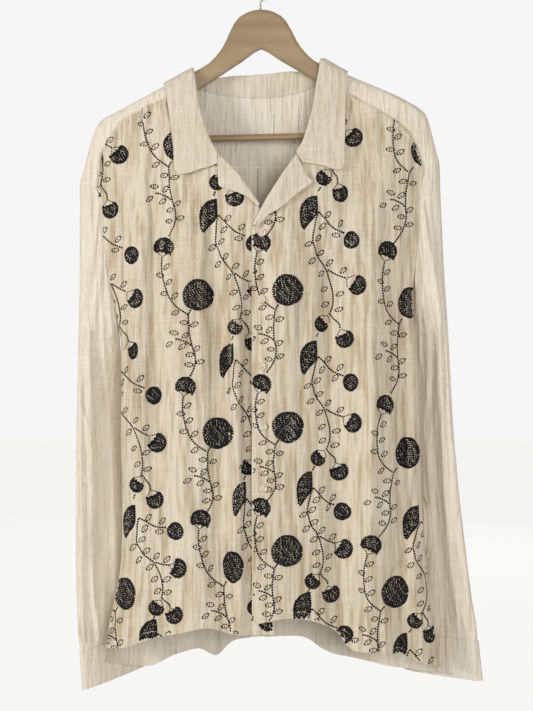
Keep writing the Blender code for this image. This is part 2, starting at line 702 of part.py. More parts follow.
def turned_net(table, places, gap):
    """Middle of a collar's or lapel's wall: up from its seam, over the roll line and down."""
    rows = between_rows(table, places)
    seam, roll, edge = rows[:, 0:2], rows[:, 2:4], rows[:, 4:6]
    high = rows[:, 6]
    stand = np.linalg.norm(roll - seam, axis=1)
    leaf = np.linalg.norm(edge - roll, axis=1)
    bend = np.minimum(1.3, stand * 0.4)
    sections = [
        (seam, roll, gap / stand, STAND_LIFT + 0 * stand),
        (seam, roll, 0.5 + 0 * stand, STAND_LIFT + 0 * stand),
        (seam, roll, 1 - bend / stand, high * 0.08),
        (seam, roll, 1 + 0 * stand, high * 0.5),
        (roll, edge, np.minimum(1.3, leaf * 0.2) / leaf, high * 0.93),
        (roll, edge, np.minimum(6, leaf * 0.4) / leaf, high),
        (roll, edge, 0.6 + 0 * leaf, high * 0.5 + EDGE_LIFT * 0.5),
        (roll, edge, 1 + 0 * leaf, EDGE_LIFT + 0 * leaf),
    ]
    net = []
    for first, second, part, lift in sections:
        place = first + (second - first) * part[:, None]
        net.append(on_body(place[:, 0], place[:, 1], lift))
    return np.array(net)


def lapel_table(rows):
    """A lapel's rows with drops in place of heights."""
    table = []
    for seam_x, seam_z, roll_x, roll_z, edge_x, edge_z in rows:
        drops = [float(z - shoulder_z(x)) for x, z in
                 ((seam_x, seam_z), (roll_x, roll_z), (edge_x, edge_z))]
        table.append((seam_x, drops[0], roll_x, drops[1], edge_x, drops[2], LAPEL_LIFT))
    return table


def sleeve_ring(table, z, turn, waves):
    """A point of the sleeve's section at height z. turn is 0 at its outer fold."""
    rows = np.array(table, float)[::-1]
    outer, inner, outer_y, inner_y, half = (np.interp(z, rows[:, 0], rows[:, k]) for k in range(1, 6))
    cos, sin = np.cos(turn), np.sin(turn)
    part = 0.5 - 0.5 * np.sign(cos) * np.abs(cos) ** 0.85
    ripple = waves * np.cos(SLEEVE_WAVES * 2 * turn) * np.abs(sin)
    x = outer + (inner - outer) * part
    y = outer_y + (inner_y - outer_y) * part - (half + ripple) * np.sign(sin) * np.abs(sin) ** 0.85
    return np.stack(np.broadcast_arrays(x, y, z), axis=-1)


def armhole(wearer_left, columns):
    """The armhole's loop: from the top of the yoke's end, down the front and up the back."""
    side_rows = SIDE_LEFT if wearer_left else SIDE_RIGHT
    seam = YOKE_SEAM_LEFT if wearer_left else YOKE_SEAM_RIGHT
    underarm = UNDERARM_LEFT_Z if wearer_left else UNDERARM_RIGHT_Z
    outward = 1.0 if wearer_left else -1.0
    end_x, end_z = YOKE_END_LEFT if wearer_left else YOKE_END_RIGHT
    side = along(side_rows, np.linspace(0, 1, 300))
    side = side[side[:, 1] > underarm]
    ridge_x = seam[0][0] + outward * YOKE_FALL
    halves = []
    for face, first in ((-1, seam[0]), (1, (end_x, end_z))):
        drop = face * (shoulder_z(first[0]) - first[1])
        parts = np.linspace(0, 1, 20)[:, None]
        over = np.array([ridge_x, 0.0]) + (np.array([first[0], drop]) - [ridge_x, 0.0]) * parts
        over = on_body(over[:, 0], over[:, 1] + face * 1e-3, np.zeros(20))
        down = np.stack([side[:, 0], body_y(side[:, 0], side[:, 1], face), side[:, 1]], axis=-1)
        halves.append(along(np.vstack([over, down[6::6]]), np.linspace(0, 1, columns // 2 + 1)))
    loop = np.vstack([halves[0], halves[1][-2:0:-1]])
    loop[columns // 2] = (halves[0][-1] + halves[1][-1]) / 2
    return loop + [outward * ARMHOLE_GAP, 0, -ARMHOLE_GAP]


def sleeve_net(wearer_left, columns, rows):
    table = SLEEVE_LEFT if wearer_left else SLEEVE_RIGHT
    loop = armhole(wearer_left, columns)
    turn = np.linspace(0, 2 * math.pi, columns, endpoint=False)
    seam_z = CUFF_LEFT_SEAM_Z if wearer_left else CUFF_RIGHT_SEAM_Z
    tilt = CUFF_LEFT_TILT if wearer_left else CUFF_RIGHT_TILT
    foot = sleeve_ring(table, seam_z + 0 * turn, turn, 0.0)
    foot_z = seam_z + tilt * np.abs(foot[:, 0] - foot[0, 0])
    net = []
    for part in np.linspace(0, 1, rows + 1):
        z = loop[:, 2] + (foot_z - loop[:, 2]) * part
        waves = SLEEVE_WAVE_DEPTH * float(smoothstep(0.1, 0.4, part) * (1 - smoothstep(0.96, 1, part)))
        ring = sleeve_ring(table, z, turn, waves)
        start = sleeve_ring(table, loop[:, 2], turn, 0.0)
        net.append(ring + (loop - start) * (1 - smoothstep(0, 0.3, part)))
    net = np.array(net)
    return np.concatenate([net, net[:, :1]], axis=1)


def cuff_net(wearer_left, columns, rows):
    """A cuff's strip: once round the wrist and a little further, over its own start."""
    table = SLEEVE_LEFT if wearer_left else SLEEVE_RIGHT
    seam_z = CUFF_LEFT_SEAM_Z if wearer_left else CUFF_RIGHT_SEAM_Z
    tilt = CUFF_LEFT_TILT if wearer_left else CUFF_RIGHT_TILT
    parts = np.linspace(0, 1 + CUFF_LAP, columns + 1)
    turn = math.radians(250) + parts * 2 * math.pi
    outer_x = sleeve_ring(table, np.array([seam_z]), np.zeros(1), 0.0)[0, 0]
    net = []
    for part in np.linspace(0, 1, rows + 1):
        ring = sleeve_ring(table, seam_z - CUFF_HEIGHT * part + 0 * turn, turn, 0.0)
        run = np.gradient(ring, axis=0)
        away = np.stack([run[:, 1], -run[:, 0], 0 * turn], axis=-1)
        away /= np.linalg.norm(away, axis=1, keepdims=True)
        away *= np.sign((away * (ring - ring.mean(axis=0))).sum())
        ring = ring + away * (CUFF_LAP_LIFT * smoothstep(0.7, 1.0, parts))[:, None]
        ring[:, 2] += tilt * np.abs(ring[:, 0] - outer_x) - SEAM_GAP
        net.append(ring)
    return np.array(net)


def pocket_net(columns, rows):
    z = np.linspace(POCKET_TOP_Z, POCKET_FOOT_Z, rows + 1)[:, None]
    part = np.linspace(0, 1, columns + 1)[None]
    gape = POCKET_GAPE * np.sin(math.pi * (POCKET_TOP_Z - z) / (POCKET_TOP_Z - POCKET_FOOT_Z)) + 1.2
    x = side_left_x(z) + 1.1 + gape * part
    y = SIDE_Y - 2.0 - 8.0 * part ** 1.4
    return np.stack(np.broadcast_arrays(x, y, z), axis=-1)


def label_net(columns, rows):
    width, height = LABEL_SIZE
    x = LABEL_CENTRE[0] + np.linspace(-width / 2, width / 2, columns + 1)[None]
    z = LABEL_CENTRE[1] + np.linspace(height / 2, -height / 2, rows + 1)[:, None]
    y = body_y(x, z, 1) - CLOTH - SEAT_GAP
    return np.stack(np.broadcast_arrays(x, y, z), axis=-1)


# A button's rings from its back to its dished middle, as shares of its radius and of its thickness
BUTTON_SIDES = 14
BUTTON_PROFILE = [(0.82, 0), (1, 0.35), (1, 0.75), (0.9, 1), (0.7, 1), (0.55, 0.7)]


def make_button(name, place, normal, material):
    """A button with a rim and a dished middle, turned to face along the normal."""
    mesh = bmesh.new()
    rings = []
    for radius_share, height_share in BUTTON_PROFILE:
        radius, height = BUTTON_DIAMETER / 2 * radius_share, BUTTON_THICKNESS * height_share
        turns = [2 * math.pi * k / BUTTON_SIDES for k in range(BUTTON_SIDES)]
        rings.append([mesh.verts.new((radius * math.cos(turn) * MM, radius * math.sin(turn) * MM, height * MM))
                      for turn in turns])
    for low, high in zip(rings, rings[1:]):
        for k in range(BUTTON_SIDES):
            following = (k + 1) % BUTTON_SIDES
            mesh.faces.new((low[k], low[following], high[following], high[k]))
    mesh.faces.new(rings[0][::-1])
    mesh.faces.new(rings[-1])
    item = finish_mesh(name, mesh, material)
    item.location = [value * MM for value in place]
    item.rotation_mode = "QUATERNION"
    item.rotation_quaternion = Vector(normal).to_track_quat("Z", "Y")
    return item


def front_button_place(net, x, z):
    """A place just off the front's outer face at x and z, and the face's normal there."""
    def depth(px, pz):
        columns = net.transpose(1, 0, 2)
        across = [float(np.interp(-pz, -column[:, 2], column[:, 0])) for column in columns]
        depths = [float(np.interp(-pz, -column[:, 2], column[:, 1])) for column in columns]
        order = np.argsort(across)
        return float(np.interp(px, np.array(across)[order], np.array(depths)[order]))

    reach = BUTTON_DIAMETER / 2
    normal = np.array([(depth(x + reach, z) - depth(x - reach, z)) / BUTTON_DIAMETER, -1.0,
                       (depth(x, z + reach) - depth(x, z - reach)) / BUTTON_DIAMETER])
    normal /= np.linalg.norm(normal)
    return np.array([x, depth(x, z), z]) + normal * SEAT_GAP, normal


# The hook's wire above the wood, and the degrees of its turn: first, end and step
HOOK_FOOT = [(0, -54.5), (0.5, -50)]
HOOK_TURN = (-75, 196, 15)


def make_hanger(wood, steel):
    frame = bpy.data.objects.new("hanger_frame", None)
    bpy.context.collection.objects.link(frame)
    outline = HANGER_OUTLINE + [(-x, z) for x, z in HANGER_OUTLINE[-2:0:-1]]
    mesh = bmesh.new()
    front = [mesh.verts.new((x * MM, -HANGER_DEPTH / 2 * MM, z * MM)) for x, z in outline]
    face = mesh.faces.new(front)
    moved = bmesh.ops.extrude_face_region(mesh, geom=[face])["geom"]
    moved = [item for item in moved if isinstance(item, bmesh.types.BMVert)]
    bmesh.ops.translate(mesh, verts=moved, vec=(0, HANGER_DEPTH * MM, 0))
    bmesh.ops.recalc_face_normals(mesh, faces=mesh.faces)
    body = finish_mesh("hanger_wood", mesh, wood)
    bevel = body.modifiers.new("rounding", "BEVEL")
    bevel.width = HANGER_ROUNDING * MM
    bevel.segments = 2
    bevel.limit_method = "ANGLE"
    bevel.angle_limit = math.radians(60)

    mesh = bmesh.new()
    bmesh.ops.create_cone(mesh, cap_ends=True, segments=20, radius1=BAR_DIAMETER / 2 * MM,
                          radius2=BAR_DIAMETER / 2 * MM, depth=2 * BAR_HALF_LENGTH * MM)
    bar = finish_mesh("hanger_bar", mesh, wood)
    bar.location = (0, 0, BAR_Z * MM)
    bar.rotation_euler = (0, math.pi / 2, 0)

    crest_z = WIRE_DIAMETER / 2
    centre_z = crest_z - HOOK_RADIUS
    route = [(0, WOOD_TOP_Z + SEAT_GAP)] + HOOK_FOOT
    for degrees in range(*HOOK_TURN):
        angle = math.radians(degrees)
        route.append((HOOK_RADIUS * math.cos(angle), centre_z + HOOK_RADIUS * math.sin(angle)))
    curve = bpy.data.curves.new("hanger_hook", "CURVE")
    curve.dimensions = "3D"
    curve.bevel_depth = WIRE_DIAMETER / 2 * MM
    curve.bevel_resolution = 2
    curve.use_fill_caps = True
    spline = curve.splines.new("POLY")
    spline.points.add(len(route) - 1)
    for point, (x, z) in zip(spline.points, route):
        point.co = (x * MM, 0, z * MM, 1)
    curve.materials.append(steel)
    hook = bpy.data.objects.new("hanger_hook", curve)
    bpy.context.collection.objects.link(hook)
    for item in (body, bar, hook):
        item.parent = frame
    frame.rotation_euler = (0, -HANGER_TILT, 0)


def make_shirt(cream, trim, pearl):
    forwards, backwards = Vector((0, -1, 0)), Vector((0, 1, 0))
    front_left = front_net(True, *FRONT_LEFT_NET)
    make_wall("front_right", [front_net(False, *FRONT_RIGHT_NET)], CLOTH, cream, forwards)
    make_wall("front_left", [front_left], CLOTH, cream, forwards)
    yoke = yoke_nets()
    back_seam = np.vstack([net[-1] for net in yoke])
    make_wall("yoke", yoke, CLOTH, cream, Vector((0, 0, 1)))
    make_wall("back", [back_net(back_seam, *BACK_NET)], CLOTH, cream)
    collar = turned_net(COLLAR, collar_places(COLLAR_COLUMNS), SEAM_GAP)
    make_wall("collar", [collar], COLLAR_CLOTH, cream)
    for side, rows in (("right", LAPEL_RIGHT), ("left", LAPEL_LEFT)):
        lapel = turned_net(lapel_table(rows), np.linspace(0, len(rows) - 1, LAPEL_COLUMNS), SEAM_GAP)
        make_wall(f"lapel_{side}", [lapel], COLLAR_CLOTH, cream)
    for side, wearer_left in (("right", False), ("left", True)):
        make_wall(f"sleeve_{side}", [sleeve_net(wearer_left, *SLEEVE_NET)], CLOTH, cream, "outwards")
        cuff = cuff_net(wearer_left, *CUFF_NET)
        make_wall(f"cuff_{side}", [cuff], CUFF_CLOTH, cream)
        normal = net_normals(cuff)[1, -2]
        normal = normal * np.sign(normal[1])
        place = cuff[1, -2] + normal * (CUFF_CLOTH / 2 + SEAT_GAP)
        make_button(f"cuff_button_{side}", place, normal, pearl)
    make_wall("pocket_mouth", [pocket_net(*POCKET_NET)], POCKET_CLOTH, cream)
    make_wall("label", [label_net(*LABEL_NET)], LABEL_CLOTH, trim, backwards)
    for number, (x, z) in enumerate(BUTTON_PLACES, 1):
        place, normal = front_button_place(front_left, x, z)
        make_button(f"button_{number}", place, normal, pearl)


def main():
    clear_scene()
    cream = make_material("cream_cotton", (0.74, 0.67, 0.54), 0.9)
    trim = make_material("bare_label", (0.8, 0.76, 0.66), 0.7)
    pearl = make_material("cream_button", (0.78, 0.74, 0.64), 0.3)
    wood = make_material("tan_wood", (0.30, 0.21, 0.11), 0.55)
    steel = make_material("hook_steel", (0.6, 0.6, 0.6), 0.3, 1.0)
    make_shirt(cream, trim, pearl)
    make_hanger(wood, steel)


main()
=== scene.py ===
# %% [markdown]
# # An embroidered shirt on a wooden hanger
#
# A cream cotton shirt with an open camp collar hangs from a wooden hanger. Vines of dark thread
# run down its two fronts. This lesson cuts each piece of cloth to its own net of points, lays
# creases and crinkle on it, sews it and embroiders it, and then lights and frames it.
#
# X runs to the right of someone facing the front, which is the wearer's left. The front faces -Y.
# Lengths are written in millimetres and turned into metres when a mesh is made.

# %% Open the frame
import math

import bmesh
import bpy
import numpy as np
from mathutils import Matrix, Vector
from mathutils.bvhtree import BVHTree


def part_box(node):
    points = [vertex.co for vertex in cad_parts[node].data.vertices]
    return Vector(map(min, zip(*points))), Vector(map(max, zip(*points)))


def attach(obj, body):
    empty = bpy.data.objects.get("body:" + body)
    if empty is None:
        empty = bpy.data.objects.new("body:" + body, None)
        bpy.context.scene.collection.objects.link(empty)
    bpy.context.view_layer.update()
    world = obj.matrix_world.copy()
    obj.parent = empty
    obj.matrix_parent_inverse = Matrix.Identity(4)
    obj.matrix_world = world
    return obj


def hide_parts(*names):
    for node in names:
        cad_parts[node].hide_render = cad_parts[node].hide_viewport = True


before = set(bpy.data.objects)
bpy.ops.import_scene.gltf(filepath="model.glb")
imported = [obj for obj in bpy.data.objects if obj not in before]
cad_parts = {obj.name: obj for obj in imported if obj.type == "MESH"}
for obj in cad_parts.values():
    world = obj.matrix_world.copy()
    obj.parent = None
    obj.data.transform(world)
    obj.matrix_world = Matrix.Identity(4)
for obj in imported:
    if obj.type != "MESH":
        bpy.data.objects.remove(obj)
bpy.ops.object.select_all(action="DESELECT")
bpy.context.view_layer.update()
MM = 0.001

# %% [markdown]
# ## Camera, floor and light
#
# The shirt is seen square on, from 2 m away and level with its middle, so that little of it is
# foreshortened. A long lens could come closer to a flat drawing, but would lose the turn of the
# sleeves. The frame is upright, so the lens is measured against its height.

# %% Camera
VIEWPOINT = Vector((9.75, -2000.0, -508.45))
SEEN_HEIGHT = 924.3
SENSOR = 36.0

lens = bpy.data.cameras.new("viewpoint")
lens.sensor_fit = "VERTICAL"
lens.sensor_height = SENSOR
lens.lens = SENSOR * -VIEWPOINT.y / SEEN_HEIGHT
camera = bpy.data.objects.new("viewpoint", lens)
camera.location = VIEWPOINT * MM
camera.rotation_euler = (math.radians(90), 0, 0)
bpy.context.collection.objects.link(camera)
bpy.context.scene.camera = camera
print("lens:", round(lens.lens, 1), "mm")

# %% [markdown]
# The floor is a wide pale disc well below the hem. It glows a little, so that it runs into the
# pale backdrop with no edge, and it throws no light up onto the cloth. A soft lamp stands to the
# left of the front, so that each ridge of cloth is bright on its left and shaded on its right. A
# broader lamp fills in from the front and a third lights the back. The room lights the rest.

# %% Floor and lamps
FLOOR_Z, FLOOR_RADIUS = -1.12, 9.0
FLOOR_GLOW, ROOM_LIGHT = 0.88, 0.42
BACKDROP = (0.92, 0.92, 0.92, 1.0)

bpy.ops.mesh.primitive_circle_add(vertices=96, radius=FLOOR_RADIUS, fill_type="NGON",
                                  location=(0, 0, FLOOR_Z))
floor = bpy.context.object
floor.name = "floor"
floor_paint = bpy.data.materials.new("pale_floor")
floor_paint.use_nodes = True
floor_shader = floor_paint.node_tree.nodes["Principled BSDF"]
floor_shader.inputs["Base Color"].default_value = (0.06, 0.06, 0.06, 1.0)
floor_shader.inputs["Roughness"].default_value = 0.9
floor_shader.inputs["Specular IOR Level"].default_value = 0.0
floor_shader.inputs["Emission Color"].default_value = (1.0, 1.0, 0.995, 1.0)
floor_shader.inputs["Emission Strength"].default_value = FLOOR_GLOW
floor.visible_diffuse = False
floor.data.materials.append(floor_paint)


def add_lamp(name, place, target, size, power, colour):
    """A square soft lamp that points at a target."""
    light = bpy.data.lights.new(name, "AREA")
    light.shape = "SQUARE"
    light.size = size
    light.energy = power
    light.color = colour
    lamp = bpy.data.objects.new(name, light)
    lamp.location = place
    lamp.rotation_euler = (Vector(target) - Vector(place)).to_track_quat("-Z", "Y").to_euler()
    bpy.context.collection.objects.link(lamp)


add_lamp("key", (-2.7, -1.7, 0.1), (0, 0, -0.5), 0.8, 50, (1.0, 0.985, 0.96))
add_lamp("fill", (0.9, -3.3, -0.3), (0, 0, -0.5), 1.6, 48, (1.0, 0.99, 0.975))
add_lamp("back_fill", (0.6, 3.2, 0.6), (0, 0, -0.5), 2.0, 40, (1.0, 0.99, 0.97))

surroundings = bpy.data.worlds.new("surroundings")
surroundings.use_nodes = True
sky_tree = surroundings.node_tree
room = sky_tree.nodes["Background"]
room.inputs["Color"].default_value = (1.0, 0.96, 0.895, 1.0)
room.inputs["Strength"].default_value = ROOM_LIGHT
backdrop = sky_tree.nodes.new("ShaderNodeBackground")
backdrop.inputs["Color"].default_value = BACKDROP
seen_directly = sky_tree.nodes.new("ShaderNodeLightPath")
choice = sky_tree.nodes.new("ShaderNodeMixShader")
sky_tree.links.new(seen_directly.outputs["Is Camera Ray"], choice.inputs["Fac"])
sky_tree.links.new(room.outputs["Background"], choice.inputs[1])
sky_tree.links.new(backdrop.outputs["Background"], choice.inputs[2])
sky_tree.links.new(choice.outputs["Shader"], sky_tree.nodes["World Output"].inputs["Surface"])
bpy.context.scene.world = surroundings
bpy.context.scene.view_settings.view_transform = "Standard"
print("lamps:", len(bpy.data.lights))

# %% [markdown]
# ## Finishes
#
# The shirt's cotton is a loosely woven cream cloth that was washed until it crinkled. Its yarn is
# uneven, with thicker slubs that run up and down and across, so its colour and its surface vary in
# short streaks. Noise that is stretched along each yarn direction gives both. A printed picture of
# the weave would repeat, and would not follow the folds.

# %% Material helpers
def new_material(name, colour, roughness):
    """A material with a principled shader, and its node tree."""
    made = bpy.data.materials.new(name)
    made.use_nodes = True
    shader = made.node_tree.nodes["Principled BSDF"]
    shader.inputs["Base Color"].default_value = (*colour, 1.0)
    shader.inputs["Roughness"].default_value = roughness
    return made, made.node_tree, shader


def stretched_noise(tree, scale, stretch, detail=3.0):
    """Noise on object coordinates, stretched by the three factors. Gives its value socket."""
    place = tree.nodes.new("ShaderNodeTexCoord")
    mapping = tree.nodes.new("ShaderNodeMapping")
    mapping.inputs["Scale"].default_value = stretch
    noise = tree.nodes.new("ShaderNodeTexNoise")
    noise.inputs["Scale"].default_value = scale
    noise.inputs["Detail"].default_value = detail
    tree.links.new(place.outputs["Object"], mapping.inputs["Vector"])
    tree.links.new(mapping.outputs["Vector"], noise.inputs["Vector"])
    return noise.outputs["Fac"]


def ramp(tree, source, stops):
    """A colour ramp read at a value socket. stops are (position, colour)."""
    node = tree.nodes.new("ShaderNodeValToRGB")
    elements = node.color_ramp.elements
    while len(elements) < len(stops):
        elements.new(0.5)
    for element, (position, colour) in zip(elements, stops):
        element.position = position
        element.color = (*colour, 1.0)
    tree.links.new(source, node.inputs["Fac"])
    return node.outputs["Color"]


def calculated(tree, operation, first, second):
    """A maths node on two sockets or numbers."""
    node = tree.nodes.new("ShaderNodeMath")
    node.operation = operation
    for socket, value in zip(node.inputs, (first, second)):
        if isinstance(value, (int, float)):
            socket.default_value = value
        else:
            tree.links.new(value, socket)
    return node.outputs["Value"]


def weighed(tree, first, first_weight, second, second_weight):
    """The sum of two value sockets, each times its weight."""
    return calculated(tree, "ADD", calculated(tree, "MULTIPLY", first, first_weight),
                      calculated(tree, "MULTIPLY", second, second_weight))


def multiplied(tree, first, second):
    """Two colour sockets multiplied."""
    node = tree.nodes.new("ShaderNodeMix")
    node.data_type = "RGBA"
    node.blend_type = "MULTIPLY"
    node.inputs["Factor"].default_value = 1.0
    tree.links.new(first, node.inputs[6])
    tree.links.new(second, node.inputs[7])
    return node.outputs[2]


def add_bump(tree, shader, height, strength, distance):
    """Raises the shader's surface by a height socket."""
    bump = tree.nodes.new("ShaderNodeBump")
    bump.inputs["Strength"].default_value = strength
    bump.inputs["Distance"].default_value = distance
    tree.links.new(height, bump.inputs["Height"])
    tree.links.new(bump.outputs["Normal"], shader.inputs["Normal"])


# %% [markdown]
# One recipe makes every cloth here, in tones of its own: pale for the plain pieces, darker and
# warmer for the crinkled fronts as painted shade of their creases, between the two for the doubled
# collar, and finer for the label. A coarse noise stands for the crushed troughs that are too small
# for the net. It deepens the bump and darkens the troughs with painted shade, most on the fronts.

# %% Cream cotton
WEAVE, LABEL_WEAVE = 900.0, 2200.0
# The two trough tones are painted shade that darkens the hollows of the crinkle.
PALE_TROUGH_SHADE, WARM_TROUGH_SHADE = (0.92, 0.895, 0.855), (0.74, 0.665, 0.555)


def make_cotton(name, light, middle, dark, weave_scale, trough_shade):
    """Slubbed cotton between three tones, its weave raised, with painted shade in its crinkle's troughs."""
    made, tree, shader = new_material(name, middle, 0.92)
    warp = stretched_noise(tree, weave_scale, (1.0, 1.0, 0.05), 2.0)
    weft = stretched_noise(tree, weave_scale, (0.05, 0.05, 1.0), 2.0)
    wash = stretched_noise(tree, 14.0, (1.0, 1.0, 0.35), 3.0)
    yarn = calculated(tree, "ADD", warp, weft)
    yarn = calculated(tree, "MULTIPLY", yarn, 0.5)
    tone = weighed(tree, yarn, 0.7, wash, 0.3)
    colour = ramp(tree, tone, [(0.36, dark), (0.5, middle), (0.64, light)])
    crushed = stretched_noise(tree, 150.0, (1.0, 1.0, 0.1), 3.0)
    # Painted shade: where the crushed noise sinks the bump, the same noise darkens the colour.
    painted_trough_shade = ramp(tree, crushed, [(0.34, trough_shade), (0.52, (0.975, 0.965, 0.945)), (0.6, (1.0, 1.0, 1.0))])
    tree.links.new(multiplied(tree, colour, painted_trough_shade), shader.inputs["Base Color"])
    shader.inputs["Sheen Weight"].default_value = 0.18
    shader.inputs["Sheen Roughness"].default_value = 0.55
    shader.inputs["Specular IOR Level"].default_value = 0.2
    add_bump(tree, shader, weighed(tree, yarn, 0.4, crushed, 2.2), 1.0, 0.0021)
    return made


cotton = make_cotton("cream_cotton", (0.85, 0.8, 0.705), (0.8, 0.745, 0.64), (0.73, 0.66, 0.54),
                     WEAVE, PALE_TROUGH_SHADE)
# The fronts' darker tones and their warm trough tone are painted shade of their creases.
crinkled_cotton_painted_shade = make_cotton("crinkled_cotton_painted_shade", (0.76, 0.695, 0.58), (0.7, 0.63, 0.51), (0.61, 0.525, 0.4),
                              WEAVE, WARM_TROUGH_SHADE)
collar_cotton = make_cotton("collar_cotton", (0.77, 0.71, 0.61), (0.71, 0.65, 0.54), (0.64, 0.57, 0.455),
                            WEAVE, PALE_TROUGH_SHADE)
label_cotton = make_cotton("bare_label", (0.87, 0.84, 0.76), (0.83, 0.79, 0.7), (0.77, 0.72, 0.62),
                           LABEL_WEAVE, PALE_TROUGH_SHADE)
print("cottons:", [made.name for made in (cotton, crinkled_cotton_painted_shade, collar_cotton, label_cotton)])

# %% [markdown]
# The vines are worked in a soft black thread with a dull shine. The seams are sewn with cream
# thread a little lighter than the cloth. Each stitch is its own small raised form, so the
# threads need only a fine twist in their surface.

# %% Threads
def make_thread(name, colour, highlight, roughness):
    """Dull twisted thread between two tones."""
    made, tree, shader = new_material(name, colour, roughness)
    twist = stretched_noise(tree, 1600.0, (1.0, 1.0, 1.0), 1.0)
    tree.links.new(ramp(tree, twist, [(0.35, colour), (0.7, highlight)]), shader.inputs["Base Color"])
    shader.inputs["Specular IOR Level"].default_value = 0.15
    add_bump(tree, shader, twist, 0.3, 0.0002)
    return made


dark_thread = make_thread("black_thread", (0.004, 0.004, 0.005), (0.012, 0.012, 0.014), 0.75)
cream_thread = make_thread("cream_thread", (0.74, 0.66, 0.53), (0.84, 0.77, 0.65), 0.75)
print("threads:", dark_thread.name, "and", cream_thread.name)

# %% [markdown]
# ## Reading tables as smooth lines
#
# Every outline here is a short table. A curve that passes smoothly through the rows of a table
# gives as many points between them as a fine mesh needs.

# %% Curves through tables
def smoothstep(low, high, value):
    """Rises from 0 at low to 1 at high, with soft ends."""
    part = np.clip((np.asarray(value, float) - low) / (high - low), 0.0, 1.0)
    return part * part * (3.0 - 2.0 * part)


def between_rows(rows, place):
    """Values between numbered rows, on a smooth curve through them."""
    table = np.asarray(rows, float)
    ends = np.vstack([2 * table[0] - table[1], table, 2 * table[-1] - table[-2]])
    place = np.clip(np.asarray(place, float), 0, len(table) - 1 - 1e-9)
    row = place.astype(int)
    part = (place - row)[..., None]
    a, b, c, d = (ends[row + step] for step in range(4))
    return 0.5 * (2 * b + (c - a) * part + (2 * a - 5 * b + 4 * c - d) * part ** 2
                  + (3 * b - a - 3 * c + d) * part ** 3)


def run_length(points):
    """Length along a line of points, from its first one."""
    return np.concatenate([[0], np.cumsum(np.linalg.norm(np.diff(points, axis=0), axis=1))])


def run_down(net):
    """Length down each column of a net, from its first row."""
    steps = np.linalg.norm(np.diff(net, axis=0), axis=-1)
    return np.concatenate([np.zeros((1, net.shape[1])), np.cumsum(steps, axis=0)])


def along(rows, parts):
    """Points at the given parts of the length of a smooth curve through the rows."""
    fine = between_rows(rows, np.linspace(0, len(rows) - 1, 40 * len(rows)))
    length = run_length(fine)
    wanted = np.asarray(parts, float) * length[-1]
    return np.stack([np.interp(wanted, length, column) for column in fine.T], axis=-1)


def reader(rows):
    """A function that reads the second column of the rows at a value of the first."""
    fine = between_rows(rows, np.linspace(0, len(rows) - 1, 40 * len(rows)))
    fine = fine[np.argsort(fine[:, 0])]
    return lambda value: np.interp(value, fine[:, 0], fine[:, 1])


def swapped(rows):
    """The rows with their two columns the other way round."""
    return [(row[1], row[0]) for row in rows]


# %% [markdown]
# ## The garment's measurements
#
# The same tables as the pattern's: the arms of the hanger, the line of the shoulders over them,
# the side seams, the yoke seams and the hems. The cloth itself is thinner here than the stiff
# walls that stand for it, and seams that have room between walls are closed.

# %% Sizes of the cloth and its seams
CLOTH = 1.4
THIN_CLOTH = 0.8
COLLAR_CLOTH = 1.6
CUFF_CLOTH = 1.6
YOKE_GAP = 0.2
NECK_GAP = 0.8
SEAT_GAP = 0.15
SHOULDER_GAP = 0.9
SIDE_SHIFT = 0.15
SIDE_Y = 4.0
ARMHOLE_GAP = 0.2
LABEL_SIZE = (45.0, 35.0)
LABEL_CENTRE = (-4.0, -210.0)
POCKET_TOP_Z = -690.0
POCKET_FOOT_Z = -768.0
POCKET_GAPE = 11.0

# %% The hanger's arms and the shoulder line
HANGER_TILT = math.radians(1.5)
ARM_START_X = 78.0
ARM_START_Z = -133.0
ARM_SLOPE = 0.512
ARM_HALF_DEPTH = 10.5

NECK_RIDGE = [
    # x without its sign, z
    (0, -136), (40, -133.5), (65, -131.5), (78, -133),
]

# How far the cloth stands off the arm, and where it falls past the arm's end
PUFF_LEFT = [
    # x, height
    (78, 0.0), (120, 0.5), (160, 3.0), (215, 4.5),
]
FALL_LEFT = [
    # x, z past the end of the arm on the wearer's left
    (210, -188.5), (219, -200.5), (224.5, -220), (230.8, -245), (235, -260), (239, -276),
]
FALL_RIGHT = [
    # x, z past the end of the arm on the wearer's right
    (-203, -202), (-210, -210), (-216, -223), (-225.6, -259), (-232, -281), (-237, -298),
]


def tilted(x, z):
    """A point of the hanger after it swings on its hook."""
    return (x * math.cos(HANGER_TILT) - z * math.sin(HANGER_TILT),
            x * math.sin(HANGER_TILT) + z * math.cos(HANGER_TILT))


def shoulder_rows():
    """The shoulder line over the hanger's arms, from the wearer's right to the left."""
    rise = (CLOTH + SHOULDER_GAP) * math.hypot(1.0, ARM_SLOPE)
    puff = reader(PUFF_LEFT)
    arm = [(x, ARM_START_Z - ARM_SLOPE * (x - ARM_START_X)) for x in range(88, 196, 18)]
    half = NECK_RIDGE + arm
    rows = [tilted(-x, z) for x, z in half[:0:-1]] + [tilted(x, z) for x, z in half]
    rows = [(x, z + rise + (float(puff(x)) if x > 0 else 0.0)) for x, z in rows]
    return FALL_RIGHT[::-1] + rows + FALL_LEFT


shoulder_z = reader(shoulder_rows())
print("highest cloth:", round(float(shoulder_z(0.0)), 1), "mm below the rail")

# %% Side seams, yoke seams and hems
SIDE_RIGHT = [
    # x, z
    (-210, -288), (-205, -322), (-200, -371), (-192, -421), (-182, -476), (-179.7, -510),
    (-178.8, -634), (-178, -690), (-179, -771), (-187.5, -823), (-195, -856), (-198, -887),
]
SIDE_LEFT = [
    # x, z
    (212, -268), (207.5, -308), (206, -349), (202.5, -398), (200, -440), (202, -468),
    (206.5, -513), (209, -560), (210.5, -645), (213, -710), (216, -770), (223, -830),
    (231, -880), (236, -912),
]
UNDERARM_RIGHT_Z = -476.0
UNDERARM_LEFT_Z = -440.0

